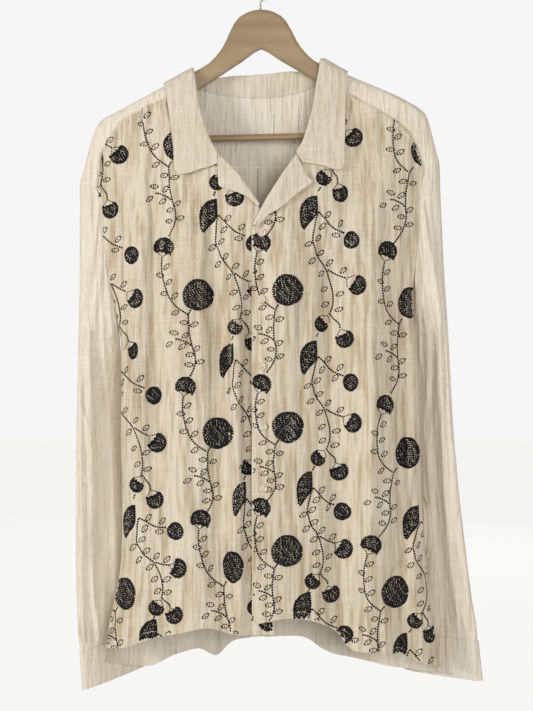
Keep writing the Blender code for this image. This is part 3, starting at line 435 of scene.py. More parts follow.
# Front yoke seams, from the armhole to the neck
YOKE_SEAM_RIGHT = [
    # x, z
    (-210, -288), (-207.5, -262), (-204, -245), (-197, -230.5), (-181, -209), (-165, -196.5),
    (-142, -183), (-122, -176), (-96.5, -165.5),
]
YOKE_SEAM_LEFT = [
    # x, z
    (212, -268), (208, -249), (203, -235), (193, -219), (179, -206), (160, -194),
    (142, -184), (118, -171), (92, -158.5),
]

# Hems, from the wearer's right to the left
HEM_FRONT_RIGHT = [
    # x, z
    (-198, -887), (-172, -882.5), (-145, -872), (-106, -863), (-67, -856), (-42, -862.5),
    (-10, -865), (19, -864),
]
HEM_FRONT_LEFT = [
    # x, z
    (-8.6, -836), (-2, -848.5), (13, -846.5), (34, -843), (65, -846), (95, -859),
    (118, -884), (141, -886.5), (176, -890), (205, -901), (236, -912),
]
HEM_BACK = [
    # x, z
    (-210, -908), (-194, -911), (-162, -918), (-140, -918), (-110, -903), (-80, -896.5),
    (-57, -906), (-34, -886), (0, -882), (55, -881), (87, -898), (128, -909), (165, -918),
    (205, -922), (238, -924),
]

# How far the front and back swell past the hanger's depth, by height
FRONT_SWELL = [
    # z, depth
    (-120, 0), (-150, 3), (-200, 12), (-260, 22), (-350, 30), (-500, 33), (-700, 35), (-930, 37),
]
BACK_SWELL = [
    # z, depth
    (-120, 0), (-170, 3), (-262, 12), (-400, 18), (-600, 22), (-930, 25),
]

side_right_x = reader(swapped(SIDE_RIGHT))
side_left_x = reader(swapped(SIDE_LEFT))
front_swell = reader(FRONT_SWELL)
back_swell = reader(BACK_SWELL)
WAIST_Z = -600.0
print("width at the waist:", round(float(side_left_x(WAIST_Z) - side_right_x(WAIST_Z))), "mm")

# %% [markdown]
# ## The plain body
#
# Over the hanger's arms the cloth turns in a tight round. Below them it swells out to the depth
# that a hanging shirt keeps, and closes again at the side seams. One function gives the depth of
# the front and of the back at any place, and everything that lies on the body is measured off it.

# %% Depth of the body
def over_arm(drop, x):
    """Half depth of the cloth where it lies over the hanger's arm."""
    slope = (shoulder_z(x + 1.0) - shoulder_z(x - 1.0)) / 2.0
    away = np.abs(drop) / np.sqrt(1.0 + slope ** 2)
    inside = 1.0 - np.clip(away / ARM_HALF_DEPTH, 0.0, 1.0)
    return ARM_HALF_DEPTH * np.sqrt(np.clip(1.0 - inside ** 2, 0.0, 1.0))


def body_y(x, z, side):
    """Depth of the plain body at x and z. side is -1 for the front and 1 for the back."""
    left = side_right_x(z)
    right = side_left_x(z)
    across = np.clip(np.abs((2 * x - left - right) / (right - left)), 0.0, 1.0)
    underarm = UNDERARM_RIGHT_Z + (UNDERARM_LEFT_Z - UNDERARM_RIGHT_Z) * smoothstep(-100, 100, x)
    below = smoothstep(0, 1, (underarm + 60.0 - z) / 80.0)
    flat = 1.0 - across ** 2.4
    round_side = (1.0 - across ** 3) ** (1.0 / 3.0)
    swell = front_swell(z) if side < 0 else back_swell(z)
    edge = side * over_arm(shoulder_z(x) - z, x) * (1.0 - below) + SIDE_Y * below
    arm_part = ARM_HALF_DEPTH * below * round_side
    return edge + side * (arm_part + swell * (flat * (1.0 - below) + round_side * below))


def from_side(x, z):
    """Distance from the nearer side seam."""
    return np.minimum(x - side_right_x(z), side_left_x(z) - x)


def side_shift(x, z):
    """How far the cloth stands off its neighbour across the side seam."""
    return SIDE_SHIFT * (1.0 - smoothstep(10, 60, from_side(x, z)))


def on_body(x, drop, lift):
    """A point on the plain body, lifted off it along its normal."""
    def plain(px, pdrop):
        z = shoulder_z(px) - np.abs(pdrop)
        y = np.where(pdrop < 0, body_y(px, z, -1), body_y(px, z, 1))
        return np.stack(np.broadcast_arrays(px, y, z), axis=-1)

    step = 1.5
    along_x = plain(x + step, drop) - plain(x - step, drop)
    along_drop = plain(x, drop + step) - plain(x, drop - step)
    normal = np.cross(along_x, along_drop)
    normal /= np.linalg.norm(normal, axis=-1, keepdims=True)
    return plain(x, drop) + normal * np.asarray(lift, float)[..., None]


def net_normals(net):
    """Normals of a net of points, rows by columns."""
    normal = np.cross(np.gradient(net, axis=1), np.gradient(net, axis=0))
    return normal / np.maximum(np.linalg.norm(normal, axis=-1, keepdims=True), 1e-9)


print("depth at the waist:", round(float(body_y(0.0, WAIST_Z, 1) - body_y(0.0, WAIST_Z, -1))), "mm")

# %% [markdown]
# ## Folds, creases and crinkle
#
# Three sizes of relief lie on the cloth. The large folds are where the fronts and the back fall
# away from the hanger. Creases are single soft ridges and troughs, each with its own length and
# depth, placed one by one from a table. Crinkle is the small ripple that washing leaves all over,
# long down the cloth and narrow across it, and comes from a seeded field of noise.

# %% Large folds
FRONT_RIGHT_FOLDS = [
    # top x, top z, foot x, foot z, half width, depth
    (-152, -290, -158, -880, 17, 5.0),
    (-137, -240, -131, -640, 9, -5.0),
    (-104, -280, -96, -870, 22, 4.0),
    (-62, -270, -44, -880, 14, -8.0),
    (-27, -400, -24, -880, 10, 4.0),
]
FRONT_LEFT_FOLDS = [
    # top x, top z, foot x, foot z, half width, depth
    (30, -340, 22, -860, 22, 5.0),
    (86, -330, 108, -900, 24, -14.0),
    (152, -240, 142, -910, 16, 6.0),
    (176, -360, 187, -920, 13, -8.0),
    (120, -230, 112, -360, 11, -4.0),
]
BACK_FOLDS = [
    # top x, top z, foot x, foot z, half width, depth
    (-150, -300, -152, -930, 15, 5.0),
    (-112, -300, -104, -930, 15, -6.0),
    (-66, -340, -66, -930, 17, 4.0),
    (58, -320, 62, -930, 16, 5.0),
    (100, -300, 104, -930, 15, -6.0),
    (150, -300, 156, -930, 17, 5.0),
]
FOLD_FADE = 90.0
GATHER_PITCH, GATHER_DEPTH, GATHER_LENGTH = 21.0, 1.5, 60.0


def fold_depth(x, z, folds):
    """How far the folds push the cloth out, fading to nothing at the side edges."""
    depth = np.zeros(np.broadcast(x, z).shape)
    for top_x, top_z, foot_x, foot_z, width, height in folds:
        down = (top_z - z) / (top_z - foot_z)
        line = top_x + (foot_x - top_x) * down
        fade = smoothstep(0, FOLD_FADE, top_z - z) * smoothstep(-1, FOLD_FADE, z - foot_z + 80)
        depth = depth + height * fade * np.exp(-((x - line) / width) ** 2)
    return depth * smoothstep(0, 26, from_side(x, z))


def gather_depth(x, z, seam):
    """Small gathers that fade out below the yoke seam."""
    below = seam(x) - z
    fade = smoothstep(0, 8, below) * (1.0 - smoothstep(14, GATHER_LENGTH, below))
    return GATHER_DEPTH * fade * np.cos(2 * math.pi * x / GATHER_PITCH)


print("large folds:", len(FRONT_RIGHT_FOLDS) + len(FRONT_LEFT_FOLDS) + len(BACK_FOLDS))

# %% Creases and crinkle
FIELD = 128


def crease_height(x, z, rows):
    """Soft ridges and troughs along short lines, each wider towards its foot."""
    height = np.zeros(np.broadcast(x, z).shape)
    for top_x, top_z, foot_x, foot_z, width, depth in rows:
        run_x, run_z = foot_x - top_x, foot_z - top_z
        length = math.hypot(run_x, run_z)
        part = ((x - top_x) * run_x + (z - top_z) * run_z) / length ** 2
        off = ((x - top_x) * run_z - (z - top_z) * run_x) / length
        spread = width * (0.8 + 0.4 * np.clip(part, 0, 1))
        fade = smoothstep(0, 0.25, part) * (1 - smoothstep(0.65, 1, part))
        height = height + depth * fade * np.exp(-(off / spread) ** 2)
    return height


def crinkle(across, down, pitch, length, seed):
    """Small uneven ripples between -1 and 1, narrow across the cloth and long down it."""
    rng = np.random.default_rng(seed)
    field = rng.uniform(-1.0, 1.0, (FIELD, FIELD))
    u = np.asarray(across, float) / pitch + 60.0
    v = np.asarray(down, float) / length + 60.0
    column, row = np.floor(u).astype(int), np.floor(v).astype(int)
    part_u, part_v = smoothstep(0, 1, u - column), smoothstep(0, 1, v - row)

    def corner(step_row, step_column):
        return field[(row + step_row) % FIELD, (column + step_column) % FIELD]

    upper = corner(0, 0) * (1 - part_u) + corner(0, 1) * part_u
    lower = corner(1, 0) * (1 - part_u) + corner(1, 1) * part_u
    return upper * (1 - part_v) + lower * part_v


def washed(across, down, seed):
    """Crinkle of three sizes laid over each other, in millimetres."""
    wander = 5.0 * crinkle(across, down, 60.0, 80.0, seed + 7)
    broad = 1.35 * crinkle(across + wander, down, 15.0, 150.0, seed)
    fine = 0.85 * crinkle(across + wander, down, 6.5, 70.0, seed + 1)
    hair = 0.28 * crinkle(across + wander, down, 3.4, 34.0, seed + 2)
    return broad + fine + hair


def raised(net, heights, facing):
    """The net moved along its normals by the heights, on the side that it faces."""
    normals = net_normals(net)
    if (normals * np.asarray(facing)).sum() < 0:
        normals = -normals
    return net + normals * np.asarray(heights)[..., None]


sample = washed(np.arange(400.0), np.zeros(400), 11)
print("crinkle, highest and lowest in mm:", round(float(sample.max()), 2), round(float(sample.min()), 2))

# %% Creases of the two fronts, one row for each
FRONT_RIGHT_CREASES = [
    # top x, top z, foot x, foot z, half width, depth
    (-148, -250, -140, -420, 5, 1.4),
    (-120, -230, -118, -520, 6, -1.5),
    (-88, -260, -84, -470, 5, 1.3),
    (-74, -300, -70, -640, 7, 1.8),
    (-58, -330, -52, -600, 5, -1.4),
    (-36, -330, -34, -760, 6, 1.6),
    (-160, -420, -150, -700, 6, 1.5),
    (-134, -520, -128, -840, 7, 1.7),
    (-112, -560, -104, -860, 5, -1.5),
    (-92, -600, -84, -850, 6, 1.2),
    (-66, -640, -58, -860, 6, -1.7),
    (-24, -520, -18, -700, 4, -1.2),
    (-150, -640, -160, -870, 6, -1.3),
    (-168, -560, -166, -780, 5, 1.2),
    (-100, -380, -62, -470, 5, -1.0),
    (-44, -700, -20, -830, 6, 1.3),
    (-15, -325, -15, -880, 5.5, -3.4),
    (-44, -330, -42, -860, 7, -2.4),
    (-28, -345, -27, -800, 5, 1.8),
    (-127, -330, -132, -700, 7, -1.9),
]
FRONT_LEFT_CREASES = [
    # top x, top z, foot x, foot z, half width, depth
    (42, -330, 40, -560, 6, 1.6),
    (58, -380, 54, -700, 6, -1.5),
    (72, -300, 70, -520, 5, 1.4),
    (100, -250, 104, -460, 5, 1.4),
    (128, -330, 118, -420, 6, 2.2),
    (112, -352, 146, -440, 6, 2.0),
    (104, -372, 138, -470, 5, -2.0),
    (132, -400, 128, -640, 7, -1.8),
    (164, -260, 160, -520, 6, -1.6),
    (176, -300, 182, -430, 5, 1.5),
    (148, -480, 140, -760, 6, 1.7),
    (168, -520, 172, -780, 6, 1.6),
    (196, -500, 190, -620, 5, -1.8),
    (30, -560, 36, -830, 6, -1.4),
    (82, -560, 88, -820, 6, 1.5),
    (118, -620, 124, -860, 6, -1.8),
    (206, -650, 186, -770, 6, -3.2),
    (186, -770, 156, -830, 7, -3.0),
    (200, -720, 196, -880, 6, 1.8),
    (20, -380, 18, -640, 4, 1.1),
    (108, -300, 114, -800, 8, -2.4),
    (142, -330, 142, -860, 7, 2.2),
    (187, -330, 187, -700, 7, -2.4),
    (62, -600, 66, -860, 7, -1.6),
]
print("creases on the fronts:", len(FRONT_RIGHT_CREASES) + len(FRONT_LEFT_CREASES))

# %% [markdown]
# ## Collar and lapels: their tables
#
# A camp collar is one piece, folded along a roll line. Each row gives a place on the neck seam,
# on the roll line and on the free edge, with how far the roll stands off the body.

# %% Collar and lapel tables
COLLAR = [
    # seam x, seam drop, roll x, roll drop, edge x, edge drop, lift at the roll
    (-57.4, -121, -53.4, -118.5, -53.4, -132.5, 3.4),
    (-63, -108, -59, -108, -72, -138, 3.8),
    (-72, -93, -66, -93, -104, -127, 4.2),
    (-84, -58, -75, -61, -109.6, -88.5, 4.4),
    (-93, -27, -80, -32, -115, -45, 4.0),
    (-97, -8, -83.5, -8, -120, -12, 3.6),
    (-97.5, 4, -84, 2, -122, 4, 3.6),
    (-92, 15, -80, 9, -116, 26, 4.0),
    (-70, 32, -62, 16, -88, 60, 4.6),
    (-38, 38, -36, 12, -48, 72, 5.0),
    (0, 38.5, 0, 9, 0, 73, 5.0),
    (36, 38, 36, 8, 50, 72, 5.0),
    (66, 33, 60, 10, 88, 58, 5.0),
    (88, 15, 75, 6, 108, 27, 5.4),
    (93.5, 4, 79, 1, 113, 5, 5.6),
    (93, -8, 78.5, -7, 113, -11, 5.6),
    (88, -30, 74, -34, 110.5, -53, 5.0),
    (80, -60, 69.5, -63, 109.5, -95, 4.6),
    (68, -96, 58, -102, 106, -130, 4.4),
    (56, -112, 51.5, -113.5, 78, -137.5, 3.8),
    (52.4, -121.5, 48.2, -119.5, 55.5, -133.5, 3.4),
]

# Lapels: seam, roll line and free edge, each as x and z
LAPEL_RIGHT = [
    # seam x, seam z, roll x, roll z, edge x, edge z
    (-58.0, -255.4, -52.6, -250.5, -52.3, -265.5),
    (-48.5, -260, -45.5, -256.8, -51.9, -280),
    (-38.5, -268, -36.5, -266, -50.5, -292),
    (-27.5, -279.5, -25.5, -277.5, -40, -296.5),
    (-16.2, -295, -14.2, -293.2, -25, -301.5),
    (-7.2, -308.2, -5.2, -306.5, -11, -309.5),
    (-1.4, -317.2, 0.6, -315.8, -1.6, -318.6),
]
LAPEL_LEFT = [
    # seam x, seam z, roll x, roll z, edge x, edge z
    (52.8, -256.6, 47.4, -252, 54.6, -266),
    (43.2, -265.4, 40, -262.6, 62, -280),
    (35, -274.8, 32.8, -273, 66.9, -288.4),
    (24.6, -290.4, 22.4, -288.6, 48, -302.5),
    (13.6, -308.2, 11.4, -306.4, 28.5, -319.8),
    (4.6, -324.6, 2.4, -323, 12.5, -329),
    (-5, -342.6, -7.2, -341.4, -2.6, -344.6),
]
LAPEL_LIFT, EDGE_LIFT, STAND_LIFT = 4.4, 3.2, -0.4


def turn_over_arm(drop):
    """Length along the cloth where it turns over the arm, for a drop on either side."""
    inside = 1.0 - np.clip(np.abs(drop) / ARM_HALF_DEPTH, 0.0, 1.0)
    return np.sign(drop) * ARM_HALF_DEPTH * np.arccos(inside)


def collar_places(columns):
    """Places along the collar's rows, closer together where it turns over the arms."""
    fine = np.linspace(0, len(COLLAR) - 1, 2000)
    table = between_rows(COLLAR, fine)
    steps = np.abs(np.diff(table[:, 0])) + 0.5 * np.abs(np.diff(table[:, 1]))
    for drop_column in (1, 3, 5):
        steps = steps + 0.8 * np.abs(np.diff(turn_over_arm(table[:, drop_column])))
    length = np.concatenate([[0], np.cumsum(steps)])
    return np.interp(np.linspace(0, length[-1], columns + 1), length, fine)


def seam_line():
    """The neck seam as x and drop, in fine steps."""
    return between_rows([row[:2] for row in COLLAR], np.linspace(0, len(COLLAR) - 1, 800))


print("neck seam across:", round(float(np.ptp(seam_line()[:, 0]))), "mm")

# %% [markdown]
# ## Yoke
#
# One piece of cloth lies over both shoulders, from the front seams to the seam across the back.
# Its corners at the neck are where the collar, the yoke and a front meet.

# %% Yoke seams and nets
YOKE_FALL = 22.0
YOKE_BACK_Z = -261.0
YOKE_BACK_NECK_X = 92.0
YOKE_END_RIGHT = (-212.0, -290.0)
YOKE_END_LEFT = (214.0, -270.0)
YOKE_SIDE_COLUMNS = 36
YOKE_NECK_COLUMNS = 64
YOKE_BACK_ROWS = 16
YOKE_CORNER_DROP = -22.0
YOKE_DROPS = (-18.0, -14.0, -10.5, -7.6, -5.2, -3.0, -1.4, -0.5,
              0.0, 0.5, 1.4, 3.0, 5.2, 7.6, 10.5, 15.0)
BACK_NECK_ROWS = (7, 13)


def yoke_corner(wearer_left):
    """Where the front yoke seam meets the neck seam, as x and z."""
    line = seam_line()
    front = line[(line[:, 1] < 0) & ((line[:, 0] > 0) == wearer_left)]
    order = np.argsort(front[:, 1])
    x = float(np.interp(YOKE_CORNER_DROP, front[order, 1], front[order, 0]))
    return x, float(shoulder_z(x)) + YOKE_CORNER_DROP


def neck_from_corner(wearer_left):
    """The neck seam from the front yoke seam down to the gorge, as x and z."""
    line = seam_line()
    front = line[(line[:, 1] < YOKE_CORNER_DROP - 8) & ((line[:, 0] > 0) == wearer_left)]
    points = np.stack([front[:, 0], shoulder_z(front[:, 0]) + front[:, 1]], axis=-1)
    points = points if wearer_left else points[::-1]
    return points[::45]


def yoke_seam(wearer_left):
    """The front yoke seam as straight steps, from the armhole to the neck."""
    seam = YOKE_SEAM_LEFT if wearer_left else YOKE_SEAM_RIGHT
    return along(seam[:-1] + [yoke_corner(wearer_left)], np.linspace(0, 1, YOKE_SIDE_COLUMNS + 1))


def yoke_drops(low, high):
    """Drops down one column of the yoke's side, closest together over the arm."""
    last = YOKE_DROPS[-1]
    back = [last + (high - last) * step / YOKE_BACK_ROWS for step in range(1, YOKE_BACK_ROWS + 1)]
    return np.array([low, (low + YOKE_DROPS[0]) / 2, *YOKE_DROPS, *back])


def yoke_side(wearer_left):
    """One side of the yoke from its front seam over the arm to its back seam."""
    front = yoke_seam(wearer_left)
    outward = 1.0 if wearer_left else -1.0
    end_x, end_z = YOKE_END_LEFT if wearer_left else YOKE_END_RIGHT
    parts = (front[:, 0] - front[0, 0]) / (front[-1, 0] - front[0, 0])
    line = seam_line()
    line = line[(line[:, 1] < YOKE_DROPS[-1] + 1) & ((line[:, 0] > 0) == wearer_left)]
    line = line[np.argsort(line[:, 1])]
    back_x = end_x + (outward * YOKE_BACK_NECK_X - end_x) * parts
    back_z = end_z + (YOKE_BACK_Z - end_z) * parts
    low = front[:, 1] - shoulder_z(front[:, 0])
    high = shoulder_z(back_x) - back_z
    drops = np.array([yoke_drops(a, b) for a, b in zip(low, high)])
    ridge_x = front[0, 0] + outward * YOKE_FALL
    arm_x = np.interp(drops[0], [low[0], 0, high[0]], [front[0, 0], ridge_x, end_x])
    neck_x = np.interp(drops[-1], line[:, 1], line[:, 0])
    rows_down = np.linspace(0, 1, YOKE_BACK_ROWS + 1)
    neck_x[-YOKE_BACK_ROWS - 1:] += (back_x[-1] - neck_x[-1]) * rows_down
    x = arm_x + (neck_x - arm_x) * parts[:, None]
    return on_body(x, drops, np.zeros(drops.shape)).transpose(1, 0, 2)


def yoke_nets():
    """Outer points of the yoke: its two sides, and the back below the neck between them."""
    right, left = yoke_side(False), yoke_side(True)[:, ::-1]
    neck = between_rows([row[:2] for row in COLLAR], np.linspace(*BACK_NECK_ROWS, YOKE_NECK_COLUMNS + 1))
    back_x = YOKE_BACK_NECK_X * np.linspace(-1, 1, len(neck))
    back_drop = shoulder_z(back_x) - YOKE_BACK_Z
    down = np.linspace(0, 1, YOKE_BACK_ROWS + 1)[:, None]
    x = neck[:, 0] + (back_x - neck[:, 0]) * down
    drop = neck[:, 1] + (back_drop - neck[:, 1]) * down
    middle = on_body(x, drop, np.zeros(x.shape))
    middle[:, 0] = right[-YOKE_BACK_ROWS - 1:, -1]
    middle[:, -1] = left[-YOKE_BACK_ROWS - 1:, 0]
    return [right, middle, left]


yoke = yoke_nets()
print("yoke nets, rows and columns:", [net.shape[:2] for net in yoke])

# %% [markdown]
# ## Walls of cloth
#
# A piece of cloth is a net of points, rows by columns. Its wall is closed by a second layer of
# the same points a thickness behind the first, with a rim between them. Solidify would do the
# same on a plain sheet, but here the nets of one piece are merged first, and the rims have to
# stay where the seams are.

# %% Make a wall
JOIN_DISTANCE = 0.01


def keep_mesh(name, mesh, material, sharp=40.0):
    """Turns a bmesh in metres into a shaded object."""
    data = bpy.data.meshes.new(name)
    mesh.to_mesh(data)
    mesh.free()
    data.shade_smooth()
    data.set_sharp_from_angle(angle=math.radians(sharp))
    data.materials.append(material)
    item = bpy.data.objects.new(name, data)
    bpy.context.collection.objects.link(item)
    return item


def make_wall(name, nets, thickness, material, facing=None):
    """A closed wall of cloth. The nets are its outer face, or its middle with no facing given."""
    mesh = bmesh.new()
    for net in nets:
        rows = [[mesh.verts.new(point) for point in row] for row in net * MM]
        for above, below in zip(rows, rows[1:]):
            for corners in zip(above, below, below[1:], above[1:]):
                mesh.faces.new(corners)
    bmesh.ops.remove_doubles(mesh, verts=mesh.verts, dist=JOIN_DISTANCE * MM)
    mesh.normal_update()
    if facing == "outwards":
        middle = sum((face.calc_center_median() for face in mesh.faces), Vector()) / len(mesh.faces)
        looks = sum(face.normal.dot(face.calc_center_median() - middle) for face in mesh.faces)
    else:
        looks = sum(face.normal.dot(facing or Vector((0, -1, 0))) for face in mesh.faces)
    if looks < 0:
        bmesh.ops.reverse_faces(mesh, faces=mesh.faces)
        mesh.normal_update()
    faces = list(mesh.faces)
    rims = [edge for edge in mesh.edges if edge.is_boundary]
    inner = {}
    for vert in list(mesh.verts):
        normal = vert.normal.copy()
        inner[vert] = mesh.verts.new(vert.co - normal * thickness * MM)
        if facing is None:
            inner[vert].co += normal * thickness / 2 * MM
            vert.co += normal * thickness / 2 * MM
    for face in faces:
        mesh.faces.new([inner[vert] for vert in reversed(face.verts)])
    for edge in rims:
        loop = edge.link_loops[0]
        start, end = loop.vert, loop.link_loop_next.vert
        mesh.faces.new((end, start, inner[start], inner[end]))
    item = keep_mesh(name, mesh, material)
    area = sum(face.area for face in item.data.polygons) / 2
    count = sum(len(face.vertices) - 2 for face in item.data.polygons)
    print(f"{name}: {count} triangles, {area:.4f} m2 of cloth")
    return item


def dress(item, node):
    """Puts a finished sheet in the place of its node."""
    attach(item, "root")
    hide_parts(node)

# %% [markdown]
# ## Cutting the fronts
#
# Each front runs from its yoke seam to the hem, and from the side seam to the edge of the
# opening. The net is blended between those four lines, then pushed out by the folds. The
# wearer's left front lies over the right one, so the right one sinks where it is covered.

# %% Edges of the fronts
FRONT_EDGE_X, OVERLAP_X = -8.9, 19.0
GORGE_SHARE = 5 / 24


def patch(top, foot, near, far, across, down):
    """A net of x and z between four edges, blended from them."""
    u = np.asarray(across, float)[None, :, None]
    v = np.asarray(down, float)[:, None, None]
    top, foot = np.asarray(top)[None], np.asarray(foot)[None]
    near, far = np.asarray(near)[:, None], np.asarray(far)[:, None]
    corners = ((1 - u) * (1 - v) * top[:, :1] + u * (1 - v) * top[:, -1:]
               + (1 - u) * v * foot[:, :1] + u * v * foot[:, -1:])
    return (1 - v) * top + v * foot + (1 - u) * near + u * far - corners


def front_opening(wearer_left):
    """The neck and opening of a front down to its hem, as x and z, and how many rows are neck."""
    lapel = LAPEL_LEFT if wearer_left else LAPEL_RIGHT
    neck = neck_from_corner(wearer_left)
    neck = neck[neck[:, 1] > lapel[0][1] + 10.0]
    inner = [yoke_corner(wearer_left)] + [tuple(point) for point in neck]
    inner += [(row[0], row[1]) for row in lapel[:-1]]
    if wearer_left:
        inner += [(lapel[-1][0], lapel[-1][1]), (FRONT_EDGE_X, -352), (FRONT_EDGE_X, -420)]
        inner += [(FRONT_EDGE_X, -560), (FRONT_EDGE_X, -700), HEM_FRONT_LEFT[0]]
    else:
        inner += [(2.0, -322), (13, -338), (OVERLAP_X, -365), (OVERLAP_X, -560)]
        inner += [(OVERLAP_X, -700), HEM_FRONT_RIGHT[-1]]
    return inner, len(neck)


def front_flat(wearer_left, columns, rows):
    """A front as a net of x and z, from the yoke seam to the hem, and the x of its opening."""
    side_rows = SIDE_LEFT if wearer_left else SIDE_RIGHT
    hem = HEM_FRONT_LEFT if wearer_left else HEM_FRONT_RIGHT
    outward = 1.0 if wearer_left else -1.0
    inner, neck_rows = front_opening(wearer_left)
    edge_in = [(x + outward * NECK_GAP, z) for x, z in inner[:-6]] + inner[-6:]
    across = np.sin(np.linspace(0, 1, columns + 1) * math.pi / 2 * 0.8)
    across /= across[-1]
    spans = np.linalg.norm(np.diff(edge_in, axis=0), axis=1)
    gorge = spans[:neck_rows + 1].sum() / spans.sum()
    to_gorge = round(rows * GORGE_SHARE)
    down = np.concatenate([np.linspace(0, gorge, to_gorge + 1),
                           np.linspace(gorge, 1, rows - to_gorge + 1)[1:]])
    steps = yoke_seam(wearer_left)[::-1]
    length = run_length(steps)
    top = np.stack([np.interp(across, length / length[-1], steps[:, k]) for k in (0, 1)], axis=-1)
    run = np.gradient(top, axis=0)
    run /= np.linalg.norm(run, axis=1, keepdims=True)
    top += outward * YOKE_GAP * np.stack([run[:, 1], -run[:, 0]], axis=-1)
    foot = along(hem if wearer_left else hem[::-1], across)
    near = along(edge_in, down)
    far = along(side_rows, down)
    near[0], near[-1] = top[0], foot[0]
    far[0], far[-1] = top[-1], foot[-1]
    flat = patch(top, foot, near, far, across, down)
    return flat[..., 0], flat[..., 1], near[:, None, 0]

# %% [markdown]
# A flat pattern becomes cloth in two steps. First its points go to the depth of the body, out with
# the folds and in under the overlap. Then the fine relief goes on: creases, crinkle, the rolled
# seam at the yoke with its puckers, the hem that is turned up twice, and the doubled placket.

# %% Relief of the fronts
UNDERLAP_SINK = 2.8
CREASE_GAIN = 1.4
PUCKER_PITCH, HEM_PUCKER_PITCH = 6.6, 8.5
HEM_LIFT, HEM_PUCKER = 0.7, 0.35
PLACKET_WIDTH, PLACKET_TOP_Z, PLACKET_LIFT = 30.5, -322.0, 0.6
FORWARDS, BACKWARDS, UPWARDS = Vector((0, -1, 0)), Vector((0, 1, 0)), Vector((0, 0, 1))


def underlap(x, z):
    """How far the right front sinks where the left one covers it."""
    cover = np.where(z < -347, FRONT_EDGE_X, np.interp(z, [-347, -320, -252], [-8.8, 5.7, 47]))
    return UNDERLAP_SINK * smoothstep(-16, -2, x - cover)


def seam_relief(x, from_top, roll, pucker):
    """The rolled seam under the yoke, with the puckers that its stitches draw."""
    rolled = smoothstep(0.3, 1.4, from_top) * (1 - smoothstep(6.6, 8.6, from_top))
    waves = np.cos(2 * math.pi * x / PUCKER_PITCH + 2.0 * np.sin(x / 11.0)) * smoothstep(1, 4, from_top)
    return roll * rolled + pucker * waves * (1 - smoothstep(7, 30, from_top))


def hem_relief(x, from_foot):
    """The hem that is turned up, with slight puckers above it."""
    turned_up = 1 - smoothstep(8.0, 10.2, from_foot)
    waves = np.cos(2 * math.pi * x / HEM_PUCKER_PITCH + 2.0 * np.sin(x / 17.0))
    waves = waves * np.exp(-((from_foot - 10) / 7) ** 2)
    return HEM_LIFT * turned_up + HEM_PUCKER * waves * smoothstep(0, 4, from_foot)


def front_net(wearer_left, columns, rows):
    """Outer points of one front, from the yoke seam to the hem."""
    folds = FRONT_LEFT_FOLDS if wearer_left else FRONT_RIGHT_FOLDS
    creases = FRONT_LEFT_CREASES if wearer_left else FRONT_RIGHT_CREASES
    roll, pucker, seed = (1.1, 0.55, 21) if wearer_left else (0.8, 0.95, 11)
    x, z, opening_x = front_flat(wearer_left, columns, rows)
    seam = reader(YOKE_SEAM_LEFT if wearer_left else YOKE_SEAM_RIGHT)
    sink = 0.0 if wearer_left else underlap(x, z)
    out = fold_depth(x, z, folds) + gather_depth(x, z, seam)
    net = np.stack([x, body_y(x, z, -1) - out + sink - side_shift(x, z), z], axis=-1)
    near_opening = smoothstep(2, 26, np.abs(x - opening_x))
    near_side = smoothstep(0, 14, from_side(x, z))
    near_seam = smoothstep(0, 10, seam(x) - z)
    calm = (0.35 + 0.65 * near_opening) * (0.3 + 0.7 * near_side) * (0.3 + 0.7 * near_seam)
    from_top = run_down(net)
    height = CREASE_GAIN * crease_height(x, z, creases) * near_side * near_opening
    height = height + washed(x, z, seed) * calm
    height = height + seam_relief(x, from_top, roll, pucker) + hem_relief(x, from_top[-1:] - from_top)
    if wearer_left:
        placket = 1 - smoothstep(PLACKET_WIDTH - 1, PLACKET_WIDTH + 1, x - opening_x)
        height = height + PLACKET_LIFT * placket * smoothstep(PLACKET_TOP_Z, PLACKET_TOP_Z - 30, z)
    return raised(net, height, FORWARDS)


FRONT_COLUMNS, FRONT_ROWS = 116, 250
front_right_net = front_net(False, FRONT_COLUMNS, FRONT_ROWS)
front_left_net = front_net(True, FRONT_COLUMNS, FRONT_ROWS)
front_right = make_wall("front_right_cloth", [front_right_net], THIN_CLOTH, crinkled_cotton_painted_shade, FORWARDS)
front_left = make_wall("front_left_cloth", [front_left_net], THIN_CLOTH, crinkled_cotton_painted_shade, FORWARDS)

# %% Sew the yoke over the shoulders
yoke_cloth = make_wall("yoke_cloth", yoke, THIN_CLOTH, cotton, UPWARDS)

# %% [markdown]
# ## Back
#
# The back hangs from the yoke's back seam with a box pleat in its middle: the cloth folds under
# on each side and comes forward again, so three layers lie over each other. The pleat is pressed
# at the seam and opens towards the hem.

# %% Net of the back
PLEAT_X, PLEAT_HALF_WIDTH, PLEAT_BEND = -2.0, 19.0, 1.3
PLEAT_LAYER, PLEAT_PUFF = 2.3, 1.2
PLEAT_UNDER, PLEAT_UNDER_LOOSE = 2.2, 11.0
BACK_CREASES = [
    # top x, top z, foot x, foot z, half width, depth
    (-176, -330, -168, -560, 6, 1.5),
    (-150, -300, -140, -470, 6, -1.6),
    (-128, -420, -134, -720, 7, 1.7),
    (-92, -300, -84, -520, 6, 1.6),
    (-98, -560, -90, -860, 6, -1.5),
    (-64, -480, -56, -800, 7, 1.6),
    (-46, -300, -44, -430, 5, 1.3),
    (-160, -640, -170, -880, 7, 1.8),
    (38, -330, 44, -600, 6, 1.5),
    (58, -600, 54, -860, 6, -1.6),
    (78, -290, 84, -500, 6, -1.4),
    (104, -400, 110, -700, 7, 1.7),
    (132, -300, 126, -520, 6, 1.5),
    (142, -560, 150, -860, 6, -1.7),
    (172, -330, 180, -600, 6, 1.6),
    (186, -620, 196, -880, 7, 1.5),
    (-110, -330, -60, -400, 6, -1.1),
    (150, -310, 110, -390, 6, -1.2),
]


